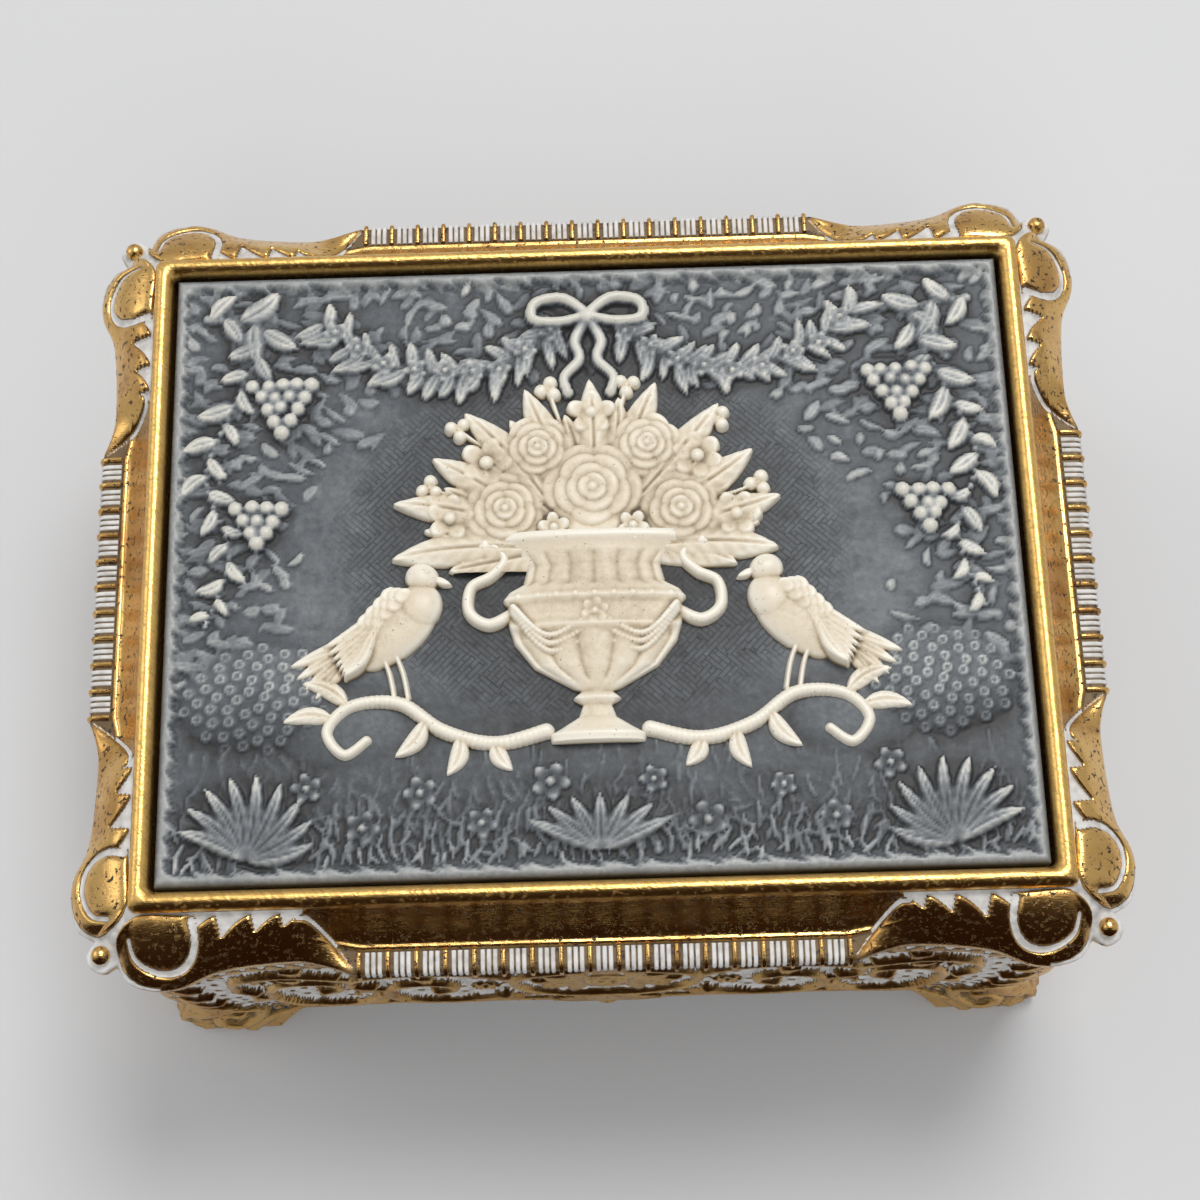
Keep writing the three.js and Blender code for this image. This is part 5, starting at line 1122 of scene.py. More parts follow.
def drawUrn(canvas):
    foot = stone["urnFoot"]
    profile = np.array(
        [(0, 5.4), (0.9, 5.6), (1.6, 4.4), (3, 2.2), (4.4, 1.7), (5.2, 2.8), (6, 1.9), (6.8, 3.4), (9, 7.2)]
        + [(12, 9.5), (15, 10.4), (16.6, 10.3), (17.4, 10.8), (18.4, 10.1), (19.4, 8.4), (21.5, 7.9)]
        + [(23.5, 9.3), (24.7, 10.9), (25.6, 11)]
    )

    def motif(x, y):
        rise = y - foot
        half = np.interp(rise, profile[:, 0], profile[:, 1])
        part = np.clip(x / half, -1, 1)
        around = np.arcsin(part)
        body = 2.1 * np.sqrt(half / 11) * np.sqrt(1 - part**2) ** 0.8
        lobes = np.abs(np.cos(7 * around)) ** 0.6
        flutes = np.abs(np.cos(9 * around + np.pi / 2)) ** 0.7
        onBowl = smoothStep(rise, 6.6, 8) * (1 - smoothStep(rise, 12.6, 13.6))
        onNeck = smoothStep(rise, 18.6, 19.2) * (1 - smoothStep(rise, 22.6, 23.4))
        body = body - 0.34 * (1 - lobes) * onBowl - 0.22 * (1 - flutes) * onNeck
        bands = [(0.9, 0.5, 0.15), (5.2, 0.6, 0.2), (13.9, 0.4, 0.22), (17.4, 0.5, 0.28), (25, 0.6, 0.25)]
        for level, size, stand in bands:
            body = body + stand * np.exp(-(((rise - level) / size) ** 2))
        out = np.maximum(np.maximum(-rise, rise - 25.6), np.abs(x) - half)
        return np.where(out < 0, np.maximum(body, 0.02), -out)

    stamp(canvas, (0, foot + 13), 15, motif, 0.35)
    handle = [(10, 15.6), (12.6, 14.6), (14.8, 16.2), (14.6, 19.2), (12.2, 20.6), (10.6, 22.6)]
    handle.append((12.4, 24.8))
    for side in (-1, 1):
        cord(canvas, [(side * x, foot + y) for x, y in handle], 1.5, 0.9, 0.5, 0.25)
        bead(canvas, (side * 12.9, foot + 24.4), 1.0, 0.8, 0.7)
        for k in range(3):
            swag = [(side * 9.6, 16.2 - 0.35 * k), (side * 5.4, 12.6 - 0.9 * k), (0, 15.6 - 1.3 * k)]
            cord(canvas, [(x, foot + y) for x, y in swag], 0.75, 0.35, 2.15 - 0.2 * k, 0.0)
    for k in range(9):
        x = (k - 4) * 2.25
        bead(canvas, (x, foot + 17.5), 0.45, 0.3, 2.3 * math.sqrt(1 - (x / 11.5) ** 2) + 0.25)
    blossom(canvas, (0, foot + 15.4), 1.7, 0.5, 0.3, 2.3, 6)


def drawBouquet(canvas, chance):
    middle = np.array([0.0, stone["urnFoot"] + 25])
    for k, turn in enumerate(np.radians(np.linspace(-22, 202, 23))):
        start = middle + (5 + 3 * (k % 2)) * np.array([math.cos(turn), 0.75 * math.sin(turn)])
        length = 15.5 + 3.4 * (k % 2) + chance.uniform(-1.2, 1.2)
        tip = middle + length * np.array([1.22 * math.cos(turn), math.sin(turn)]) + (0, 2)
        leaf(canvas, start, tip, 4.4, 1.0, chance.uniform(-1, 1), 8, 0.25 + 0.25 * (k % 2))
    berries = [(-19.5, 9.5, 1.5), (20, 9, 1.6), (-16, 17, 1.5)]
    berries += [(15.6, 17.6, 1.5), (4.6, 22.3, 1.5), (-5, 22, 1.6)]
    for x, y, size in berries:
        cord(canvas, [(x * 0.5, y * 0.5 + 3), (x * 0.8, y * 0.85), (x, y)], 0.55, 0.6, 0.5)
        for k in range(3):
            bead(canvas, pointAt((x, y), 2.1 * k + x, 0.9), size * 0.55, 0.9, 0.5)
    flowers = [(-12.6, 12.4, 3.3), (12.8, 12.6, 3.2), (-17, 5.4, 3.0), (17.2, 5.0, 3.0), (0.2, 18.6, 3.0)]
    for k, (x, y, radius) in enumerate(flowers):
        blossom(canvas, (x, y), radius, 1.1, 0.7 * k, 0.95, 5 + k % 2)
    roses = [(-6.4, 14.0, 4.1), (6.8, 14.2, 4.0), (-10.4, 6.2, 4.5), (10.6, 5.8, 4.6), (0.1, 8.6, 5.6)]
    for k, (x, y, radius) in enumerate(roses):
        rose(canvas, (x, y), radius, 1.35, 1.3 * k, 1.05 if k < 4 else 1.25)
    for x in (-4.6, 4.8):
        blossom(canvas, (x, 3.6), 1.9, 0.8, x, 1.9)


def drawDove(canvas):  # faces left, perched on a leafy scroll
    scroll = [(6, -21), (12, -22.3), (18, -20.6), (23, -17.2)]
    scroll += [(28.6, -17.4), (31.4, -20.4), (29.4, -23.2), (26.8, -21.6)]
    cord(canvas, scroll, 1.9, 1.1, 0.3, 0.35)
    for foot, tip, bend in [
        ((12, -22), (10, -25.6), 0.5),
        ((16, -21.4), (17.5, -26), -0.6),
        ((20, -19.4), (23.5, -23.6), -0.6),
        ((29, -17.4), (34.4, -14.6), 0.8),
        ((30.6, -19), (36.5, -19.2), 0.7),
    ]:
        leaf(canvas, foot, tip, 2.2, 0.9, bend, 6, 0.35)
    for k, lean in enumerate(np.radians([-52, -42, -32, -22])):  # tail
        leaf(canvas, (27, -9), pointAt((27, -9), lean, 9.5), 1.9, 0.6, 0, 0, 0.4 + 0.1 * k)
    dome(canvas, (24, -8.4), (6.2, 3.5), 1.6, math.radians(-38), 0.35)  # body
    dome(canvas, (20.9, -5.6), (3.2, 2.7), 1.6, math.radians(-60), 0.45)  # breast
    dome(canvas, (20.4, -1.9), (2.0, 1.8), 1.35, 0.3, 0.55)  # head
    leaf(canvas, (19.2, -2.0), (16.9, -2.9), 1.0, 0.7, 0, 0, 0.6)  # beak
    bead(canvas, (19.7, -1.5), 0.28, 0.2, 1.85)  # eye
    for k in range(7):  # folded wing
        lean = math.radians(-34 - 4 * k)
        start = (23.2 + 0.5 * k, -4.6 - 0.75 * k)
        tip = pointAt(start, lean, 10.4 - 0.75 * k)
        leaf(canvas, start, tip, 1.7, 0.5, -0.5, 8, 1.35 + 0.07 * k)
    for row in range(3):
        for k in range(4):
            place = (22.6 + 0.9 * k + 0.8 * row, -4.4 - 1.05 * k + 0.1 * row)
            petal(canvas, place, (1.1, 0.9), 0.42, math.radians(-40), 1.75 - 0.08 * row)
    for x in (22.6, 24.2):
        cord(canvas, [(x + 1, -11), (x, -13.6), (x - 0.6, -16.6)], 0.55, 0.6, 0.6)


def stoneMaterial():
    material, tree, coords = newMaterial("plaque_stone")
    # the first mask mixes the stone's own tone with painted shade in the recesses
    stone_tone_and_shade, cream = attributeOf(tree, "stone_tone_and_shade"), attributeOf(tree, "cream")
    mottle = maths(tree, "SUBTRACT", noise(tree, coords, 1400, 4, 0.6), 0.5)
    cloud = maths(tree, "SUBTRACT", noise(tree, coords, 160, 3, 0.5), 0.5)
    level = maths(tree, "ADD", stone_tone_and_shade, times(tree, mottle, 0.32))
    level = maths(tree, "ADD", level, times(tree, cloud, 0.28))

    def ramp(stops):
        node = put(tree, "ShaderNodeValToRGB", {"Fac": level})
        bar = node.color_ramp
        while len(bar.elements) < len(stops):
            bar.elements.new(0.5)
        for element, (place, colour) in zip(bar.elements, stops):
            element.position = place
            element.color = (*colour, 1)
        return node.outputs["Color"]

    pits = ranged(tree, noise(tree, coords, 2600, 2, 0.5), 0.69, 0.74)
    colour = blended(tree, cream, ramp(stone["greys"]), ramp(stone["creams"]))
    colour = blended(tree, times(tree, pits, 0.6), colour, stone["pit"])
    strokes = []
    for turn in (0.75, -0.8):
        mapping = put(tree, "ShaderNodeMapping", {"Vector": coords, "Rotation": (0, 0, turn)})
        values = {"Vector": mapping.outputs["Vector"], "Scale": 1000.0}
        values |= {"Mortar Size": 0.09, "Brick Width": 2.3, "Row Height": 0.62}
        strokes.append(put(tree, "ShaderNodeTexBrick", values).outputs["Fac"])
    patch = ranged(tree, noise(tree, coords, 330, 0), 0.47, 0.53)
    hatch = times(tree, between(tree, patch, *strokes), attributeOf(tree, "hatch"))
    colour = blended(tree, times(tree, hatch, 0.75), colour, stone["incised"])
    grain = useGroup(tree, grainGroup, Vector=coords, Scale=2200.0)["Height"]
    soft = useGroup(tree, grainGroup, Vector=coords, Scale=500.0)["Height"]
    normal = bump(tree, grain, 0.22, 0.0001)
    normal = bump(tree, soft, 0.3, 0.0003, normal)
    normal = bump(tree, opposite(tree, hatch), 0.6, 0.00012, normal)
    look = {"Base Color": colour, "Roughness": ranged(tree, level, 0.1, 0.9, 0.55, 0.38), "Normal": normal}
    look |= {"Subsurface Weight": 0.08, "Subsurface Radius": (0.9, 0.7, 0.5), "Subsurface Scale": 0.0008}
    return setLook(material, look)


plaqueStone = stoneMaterial()


def edgeSteps(half, spacing):  # closer together at both ends, for a rounded edge
    ends = half - stone["edgeRound"] * (1 - np.cos(np.radians([0, 15, 30, 45, 60, 75, 90])))
    inner = np.linspace(-ends[-1], ends[-1], int(2 * ends[-1] / spacing) + 1)
    return np.concatenate([-ends[:-1], inner, ends[:-1][::-1]])


def makePlaqueGround():
    chance = np.random.default_rng(stone["seed"])
    width, depth = stoneHigh[0], stoneHigh[1]
    canvas = newCanvas(edgeSteps(width, stone["coarse"]), edgeSteps(depth, stone["coarse"]), 0)
    x, y = np.meshgrid(canvas["x"], canvas["y"])
    canvas["z"] += 0.1 * ripple(x * 0.4 + 3) * ripple(y * 0.5)
    canvas["z"] += 0.4 * (1 - smoothStep(y, -26, -20 + 1.5 * ripple(x * 0.25)))
    drawFoliage(canvas, chance)
    drawMeadow(canvas, chance)
    drawGarland(canvas, chance)
    relief = canvas["z"]
    stand = standing(canvas, stone["coarse"], 0.9)
    wide = standing(canvas, stone["coarse"], 3.2)
    sky = np.exp(-(((x / 27) ** 2 + ((y - 3) / 21) ** 2) ** 2))
    meadow = 1 - smoothStep(y, -22, -12)
    # darker in recesses as painted shade, paler on the high points, and darker in the middle and along the
    # meadow
    stone_tone_and_shade = 0.38 + 1.1 * stand + 0.34 * wide + 0.08 * relief - 0.36 * sky - 0.22 * meadow
    hatch = smoothStep(0.22 - relief, 0, 0.15) * smoothStep(y, -26, -18) * smoothStep(sky, 0.1, 0.4)
    edge = np.minimum(width - np.abs(x), depth - np.abs(y))
    wave = 0.45 * ripple((x + 1.7 * y) * 0.8)
    rim = 1 - smoothStep(edge + 1.3 * wave, stone["margin"] - 0.6, stone["margin"] + 0.2)
    height = mix(stone["sky"] + relief, plaqueFace + 0.05 * wave, rim)
    corner = np.clip(1 - edge / stone["edgeRound"], 0, 1)
    height = height - stone["edgeRound"] * (1 - np.sqrt(1 - corner**2))
    # the rounded edge is darkened as painted shade towards the gap round the plaque
    stone_tone_and_shade = mix(stone_tone_and_shade, 0.70 - 0.3 * corner, rim)
    top = np.column_stack([x.ravel(), y.ravel(), height.ravel()])
    border = gridBorder(*height.shape)
    low = np.column_stack([top[border, :2], np.full(len(border), stoneLow[2] + 0.3)])
    foot = np.column_stack([top[border, :2] * 0.985, np.full(len(border), stoneLow[2])])
    first = len(top) + np.arange(len(border))
    second = first + len(border)
    after = np.roll(np.arange(len(border)), -1)
    sides = [
        np.stack([border, first, first[after], border[after]], 1),
        np.stack([first, second, second[after], first[after]], 1),
    ]
    blank = np.zeros(2 * len(border))
    stone_tone_and_shade = np.concatenate([stone_tone_and_shade.ravel(), blank + 0.4])
    hatch = np.concatenate([(hatch * (1 - rim)).ravel(), blank])
    faces = [gridQuads(*height.shape), *sides, [second[::-1]]]
    masks = {"stone_tone_and_shade": stone_tone_and_shade, "hatch": hatch}
    piece = newPiece("plaque_ground", np.vstack([top, low, foot]), faces, plaqueStone, masks)
    facesOutward(piece)
    return piece


def makeFineStone(name, canvas, side=1):
    # a fine piece of carving: only the parts that stand over the ground or just below it
    stand = standing(canvas, stone["fine"], 0.55)
    wide = standing(canvas, stone["fine"], 2.2)
    relief = canvas["z"]
    # darker in recesses as painted shade, paler on the high points
    stone_tone_and_shade = 0.46 + 1.3 * stand + 0.26 * wide
    quads = gridQuads(*relief.shape)
    kept = quads[relief.ravel()[quads].max(1) > -0.35]
    used, places = np.unique(kept, return_inverse=True)
    x, y = np.meshgrid(canvas["x"], canvas["y"])
    height = stone["sky"] + np.maximum(relief, -stone["depth"])
    points = np.column_stack([side * x.ravel(), y.ravel(), height.ravel()])[used]
    faces = places.reshape(kept.shape)[:, ::side]
    masks = {"stone_tone_and_shade": stone_tone_and_shade.ravel()[used], "cream": np.ones(len(used))}
    return newPiece(name, points, [faces], plaqueStone, masks)


def makePlaque():
    chance = np.random.default_rng(stone["seed"] + 1)
    pieces = [makePlaqueGround()]
    urn = evenCanvas(-17, 17, -24, 4.5, stone["fine"], -stone["depth"])
    drawUrn(urn)
    pieces.append(makeFineStone("plaque_urn", urn))
    bouquet = evenCanvas(-25, 25, -1.5, 25.5, stone["fine"], -stone["depth"])
    drawBouquet(bouquet, chance)
    pieces.append(makeFineStone("plaque_bouquet", bouquet))
    dove = evenCanvas(5, 38.5, -27.5, 1, stone["fine"], -stone["depth"])
    drawDove(dove)
    pieces.append(makeFineStone("plaque_dove_right", dove))
    pieces.append(makeFineStone("plaque_dove_left", dove, -1))
    for piece in pieces:
        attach(piece, "lid")
    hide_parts("stone_plaque")


makePlaque()
print("plaque is made")


# Case: a carved skin over each wall

case = {
    "height": 50,
    "wallInset": 2.9,
    "legWidth": 14,
    "flare": 1.9,
    "apron": 13.6,
    "pendantDrop": 3.4,
    "pendantHalf": 9,
    "shoulder": 14,
    "stand": 0.07,  # skin over the wall
    "lip": 1.4,  # how far the skin's edges turn in
    "sample": 0.33,
    "rows": 150,
    "canvas": 0.25,
    "hingeHalf": 19.5,
    "band": 44.6,  # height of the moulded band
}
wallX, wallY = halfX - case["wallInset"], halfY - case["wallInset"]
# height, how far out the wall stands, share of the lid's scrolls, and corner radius
wallLevels = np.array(
    [(0, 1.425, 0, 5), (1.6, 1.9, 0, 5), (5, 0.76, 0, 5), (9, -0.4, 0, 6), (14, 0, 0, 6), (22, 0.4, 0, 6)]
    + [(34, 0, 0, 6), (44, 0, 0.05, 6), (45, 0, 0.25, 6), (47, 0, 0.45, 6), (49, 0, 0.5, 6), (50, 0, 0.4, 6)]
)


def archCurve(half):  # from the leg's foot to the middle of the apron
    inner = half + case["flare"] - case["legWidth"]
    level = inner - case["shoulder"]
    apron, drop, pendant = case["apron"], case["pendantDrop"], case["pendantHalf"]
    points = [
        (inner, 0),
        (inner - 1.5, 3.2),
        (inner - case["shoulder"] / 2, apron * 0.7),
        (level, apron * 0.97),
        ((level + pendant) / 2, apron),
        (pendant, apron - drop * 0.3),
        (pendant / 2, apron - drop * 0.85),
        (0, apron - drop),
    ]
    return splineThrough(points, 13)


def drawWall(canvas, half, length, chance):
    # half of a wall's carving: from its middle to the middle of its corner, which lies at length
    s = length / 62  # the carving is drawn for a half of 62
    u, z = np.meshgrid(canvas["x"], canvas["y"])
    pitch = 3.6
    for slant in (u + z, u - z):
        away = np.abs((slant / pitch + 0.5) % 1 - 0.5) * pitch
        np.maximum(canvas["z"], 0.3 * np.exp(-((away / 0.3) ** 2)), out=canvas["z"])
    for row in range(26):
        for column in range(36):
            place = ((column + 0.5 * (row % 2)) * pitch, row * pitch / 2)
            bead(canvas, place, 0.62, 0.42)
            bead(canvas, (place[0] + pitch / 2, place[1]), 0.4, 0.22)

    arch = archCurve(half)
    dense = splineThrough(arch, 120)
    along = np.gradient(dense, axis=0)
    normal = np.stack([-along[:, 1], along[:, 0]], 1)
    normal *= -1 / np.linalg.norm(normal, axis=1)[:, None]
    np.maximum(canvas["z"], 0.02, out=canvas["z"])
    cord(canvas, (dense + 1.2 * normal)[::5], 1.9, 0.9, 0.1)
    for at in evenly(dense + 2.9 * normal, 1.35):
        bead(canvas, at, 0.58, 0.6)
    cord(canvas, (dense + 4.0 * normal)[::5], 0.7, 0.45, 0.05)

    for k in range(9):  # shell on the apron's pendant
        tip = pointAt((0, 12.6), math.radians(90 - 12.5 * k), 7.6)
        leaf(canvas, (0, 12.4), tip, 2.1, 1.0, 0, 0, 0.35)
    dome(canvas, (0, 12.5), (1.8, 1.6), 1.2, 0, 0.4)

    oval = np.linspace(-0.5, 0.5, 13) * np.pi
    frame = np.stack([12.6 * s * np.cos(oval), 30 + 8.6 * np.sin(oval)], 1)
    cord(canvas, [(-3, 21.4), *frame, (-3, 38.6)], 1.8, 1.1, 0.25)
    dome(canvas, (0, 30), (11.8 * s, 7.9), 0.35, 0, 0, 0.25)
    for turn in np.radians([0, 32, -32, 62, -62]):
        leaf(canvas, (2.5, 30), pointAt((0, 30), turn, 10.6 * s, 7.2), 3.1, 0.9, 0, 6, 0.3)
    rose(canvas, (0, 30), 4.6, 1.1, 0.4, 0.55)
    blossom(canvas, (7.4 * s, 30), 1.9, 0.7, 0.2, 0.7)
    for turn in np.radians([90, 66, 42]):
        leaf(canvas, (0, 37.8), pointAt((0, 38.2), turn, 5.4, 4.6), 2.2, 0.9, 0, 5, 0.5)

    scrolls = [
        [(14, 22), (20, 18.8), (27, 20.4), (30, 26), (27.4, 31.4), (22.6, 31.8), (20.6, 28.4), (23, 26.4)],
        [(13.4, 34.6), (19, 39.6), (27, 40.4), (33.4, 36.6), (34.6, 32), (32, 30.4)],
        [(30.6, 25.6), (35, 19.4), (42, 20.6), (46, 27.4), (43.4, 34)]
        + [(37.8, 34.6), (36, 30.6), (38.4, 28.6)],
        [(36, 38.4), (43, 41.2), (49, 37.4), (50.4, 31.6), (48, 28.8)],
        [(55, 9.6), (51.6, 8.8), (50.2, 5.6), (52.4, 2.8), (55.6, 3.8), (55.4, 6.2), (53.6, 6.2)],
    ]
    for points in scrolls:
        cord(canvas, [(x * s, y) for x, y in points], 2.1, 1.2, 0.3, 0.35)
        bead(canvas, (points[-1][0] * s, points[-1][1]), 1.15, 1.1, 0.45)
    sprigs = [
        ((15, 21.6), (11.4, 17.6), 0.6),
        ((19, 18.8), (17, 14.8), -0.6),
        ((24, 19), (25.4, 15.2), -0.6),
        ((29.6, 28), (34.2, 27), 0.7),
        ((34, 20), (31, 16.6), 0.6),
        ((39, 19.4), (39.6, 15.6), -0.6),
        ((45.4, 25), (49.2, 22.4), 0.7),
        ((23, 40.4), (25.4, 43.4), 0.6),
        ((17, 38.4), (15.2, 42.4), -0.6),
        ((40, 40.8), (42.6, 43.6), 0.5),
        ((34.4, 34), (38.2, 37.4), 0.6),
        ((24, 31.6), (26.4, 35.4), 0.6),
        ((41, 34.6), (44.2, 37.2), 0.5),
    ]
    for (x0, y0), (x1, y1), bend in sprigs:
        leaf(canvas, (x0 * s, y0), (x1 * s, y1), 2.5, 0.95, bend, 6, 0.35)
    for x, y in [(16.6, 26.4), (33, 23.4), (29.6, 36), (46.4, 33)]:
        blossom(canvas, (x * s, y), 1.9, 0.8, chance.uniform(0, 6), 0.3, 6)

    for k in range(7):  # acanthus up the corner, over its leg
        start, rise = (length, 3.5 + 5.2 * k), 6.2 - 0.1 * k
        reach = 8.8 - 0.55 * k
        tip = (length - reach, start[1] + rise)
        leaf(canvas, start, tip, 4.2 - 0.18 * k, 0.95, -1.0, 6, 0.25 + 0.03 * (7 - k))
    leaf(canvas, (length, 1.2), (length, 43.4), 5.4, 1.15, 0, 14, 0.5)

    ridge = lambda level, size, height: height * np.exp(-(((z - level) / size) ** 2))
    top = z > case["band"] - 0.9
    canvas["z"][top] = 0
    band = ridge(case["band"], 0.55, 0.6) + ridge(49.3, 0.4, 0.35)
    np.maximum(canvas["z"], np.where(top, band, 0), out=canvas["z"])
    for x in np.arange(0, length + 2, 2.2):
        leaf(canvas, (x, 45.3), (x, 49.2), 1.9, 0.55, 0, 0, 0.05)
        dome(canvas, (x + 1.1, 46.2), (0.42, 0.5), 0.5)


def sampled(canvas, key, x, y):  # a canvas's heights, or other values, at any places
    values = canvas[key]
    column = np.clip(np.interp(x, canvas["x"], np.arange(len(canvas["x"]))), 0, len(canvas["x"]) - 1.001)
    row = np.clip(np.interp(y, canvas["y"], np.arange(len(canvas["y"]))), 0, len(canvas["y"]) - 1.001)
    c, r = column.astype(int), row.astype(int)
    across = mix(values[r, c], values[r, c + 1], column - c)
    above = mix(values[r + 1, c], values[r + 1, c + 1], column - c)
    return mix(across, above, row - r)


def makeCaseSkins():
    quarter = quarterOutline(case["sample"])
    outline = np.vstack(quarter)
    count = len(outline)
    plain = ringPartners(quarter, wallX, wallY, 6)
    run = np.concatenate([[0], np.cumsum(np.linalg.norm(np.diff(plain, axis=0), axis=1))])
    middle = len(quarter[0]) + len(quarter[1]) // 2
    onBack = np.arange(count) <= middle
    fromMiddle = np.where(onBack, run, run[-1] - run)
    lengths = (run[middle], run[-1] - run[middle])
    chance = np.random.default_rng(stone["seed"] + 2)
    canvases, arches = [], []
    for half, length in zip((wallX, wallY), lengths):
        canvas = evenCanvas(0, length + 0.5, 0, case["height"], case["canvas"], 0)
        drawWall(canvas, half, length, chance)
        canvas["stand"] = standing(canvas, case["canvas"], 0.9)
        canvases.append(canvas)
        arches.append(np.interp(fromMiddle, *archCurve(half)[::-1].T, right=0))

    footZ = np.where(onBack, *arches)
    points, relief, stand = [], [], []
    for part in np.linspace(0, 1, case["rows"]):
        z = mix(footZ, case["height"], part)
        out, scroll, radius = (np.interp(z, wallLevels[:, 0], wallLevels[:, k]) for k in (1, 2, 3))
        plan = mix(ringPartners(quarter, wallX + out, wallY + out, radius), outline, scroll[:, None])
        points.append(mirroredRing(np.column_stack([plan, z])))
        for store, key in ((relief, "z"), (stand, "stand")):
            values = np.where(onBack, *(sampled(canvas, key, fromMiddle, z) for canvas in canvases))
            store.append(mirroredValues(values))
    points, relief, stand = np.array(points), np.array(relief), np.array(stand)
    aroundStep = np.roll(points, -1, axis=1) - np.roll(points, 1, axis=1)
    normal = np.cross(aroundStep, np.gradient(points, axis=0))
    normal /= np.linalg.norm(normal, axis=2)[..., None]
    hingeRoom = (points[..., 1] > 0) & (np.abs(points[..., 0]) < case["hingeHalf"])
    clear = 1 - hingeRoom * smoothStep(points[..., 2], 42.5, 44)
    relief = relief * clear * mix(0.5, 1, smoothStep(points[..., 2], 3, 13))
    edge = smoothStep(points[..., 2] - points[:1, :, 2], 0, 0.8)
    skin = points + normal * (case["stand"] + relief * mix(0.25, 1, edge))[..., None]
    skin[..., 2] = np.clip(skin[..., 2], 0.02, case["height"] + 0.04)
    inward = normal * np.array([1, 1, 0])
    lipLow = points[0] - inward[0] * case["lip"]
    lipLow[:, 2] = np.where(points[0, :, 2] > 0, skin[0, :, 2] - 0.03, 0.06)
    skin[0, :, 2] = np.where(points[0, :, 2] > 0, points[0, :, 2] - 0.05, 0.02)
    lipTop = points[-1] - inward[-1] * case["lip"]
    lipTop[:, 2] = case["height"] + 0.04
    skin = np.concatenate([lipLow[None], skin, lipTop[None]])
    pad = lambda values, fill: np.concatenate([values[:1] * 0 + fill, values, values[-1:] * 0 + fill])
    relief, stand = pad(relief, 0), pad(stand, 0)
    high = skin[..., 2]
    low = 1 - smoothStep(relief, 0.12, 0.5)
    low[[0, -1]] = 0
    wash = np.maximum(0.85 * low, smoothStep(-stand, 0.03, 0.14))
    wash = wash * mix(0.3, 1, smoothStep(high, 4, 14)) * mix(1, 0.5, smoothStep(high, 49, 50))
    # painted shade: the deep recesses near the feet are darkened
    painted_shade = 0.75 * smoothStep(-stand, 0.12, 0.3) * (1 - smoothStep(high, 6, 16))

    last = count - 1
    ringCount = 4 * last
    corners = [last - middle, last + middle, 3 * last - middle, 3 * last + middle]
    for k, wall in enumerate(("back", "left", "front", "right")):
        end = corners[(k + 1) % 4] + (ringCount if k == 3 else 0)
        columns = np.arange(corners[k], end + 1) % ringCount
        quads = gridQuads(len(skin), len(columns))
        masks = {"wash": wash[:, columns], "painted_shade": painted_shade[:, columns]}
        piece = newPiece("wall_" + wall, skin[:, columns], [quads], caseGilt, masks)
        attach(piece, "case")


caseGilt = giltMaterial("case_gilt", 0.55, 0.45, 0.27)
makeCaseSkins()
print("carved walls are made")


# Materials of the inside

metals = {  # colour, dull colour, roughness and how far the grain is drawn out
    "nickel": ((0.47, 0.455, 0.42), (0.31, 0.30, 0.28), 0.4, (1, 1, 1)),
    "steel": ((0.58, 0.58, 0.57), (0.36, 0.36, 0.355), 0.2, (1, 9, 1)),
    "blued": ((0.06, 0.10, 0.24), (0.035, 0.05, 0.11), 0.2, (1, 1, 1)),
    "brass": ((0.83, 0.61, 0.26), (0.58, 0.39, 0.14), 0.2, (1, 1, 1)),
    "turned": ((0.83, 0.61, 0.26), (0.62, 0.42, 0.16), 0.18, (1, 30, 1)),
}
metalFleck = (0.05, 0.04, 0.035)


def metalMaterial(name, bright, dull, roughness, stretch):
    material, tree, coords = newMaterial(name)
    patina = useGroup(tree, patinaGroup, Vector=coords, Size=0.5, Amount=0.12)
    grain = useGroup(tree, grainGroup, Vector=coords, Scale=2500.0, Stretch=stretch)["Height"]
    colour = blended(tree, ranged(tree, patina["Cloud"], 0.4, 0.8), bright, dull)
    colour = blended(tree, times(tree, patina["Fleck"], 0.5), colour, metalFleck)
    look = {"Base Color": colour, "Metallic": 1.0, "Normal": bump(tree, grain, 0.12, 0.00004)}
    look["Roughness"] = ranged(tree, grain, 0.25, 0.75, roughness - 0.05, roughness + 0.14)
    return setLook(material, look)


velvet = {
    "pile": (0.115, 0.006, 0.017),
    "crushed": (0.21, 0.016, 0.036),
    "deep": (0.03, 0.001, 0.004),
    "sheen": (1.0, 0.42, 0.5),
}


def velvetMaterial():
    material, tree, coords = newMaterial("velvet")
    pile = useGroup(tree, grainGroup, Vector=coords, Scale=5200.0)["Height"]
    crushed = useGroup(tree, patinaGroup, Vector=coords, Size=1.4, Amount=0.0)["Cloud"]
    colour = blended(tree, ranged(tree, crushed, 0.42, 0.68), velvet["pile"], velvet["crushed"])
    colour = blended(tree, ranged(tree, pile, 0.3, 0.75, 0.0, 0.4), colour, velvet["deep"])
    look = {"Base Color": colour, "Roughness": 0.95, "Specular IOR Level": 0.1}
    look |= {"Sheen Roughness": 0.35, "Sheen Tint": velvet["sheen"]}
    look["Sheen Weight"] = ranged(tree, crushed, 0.35, 0.7, 0.35, 0.8)
    look["Normal"] = bump(tree, pile, 0.6, 0.0003)
    return setLook(material, look)


acrylic = {"colour": (0.97, 0.985, 0.98), "passing": (0.95, 0.96, 0.96, 1), "ior": 1.2}


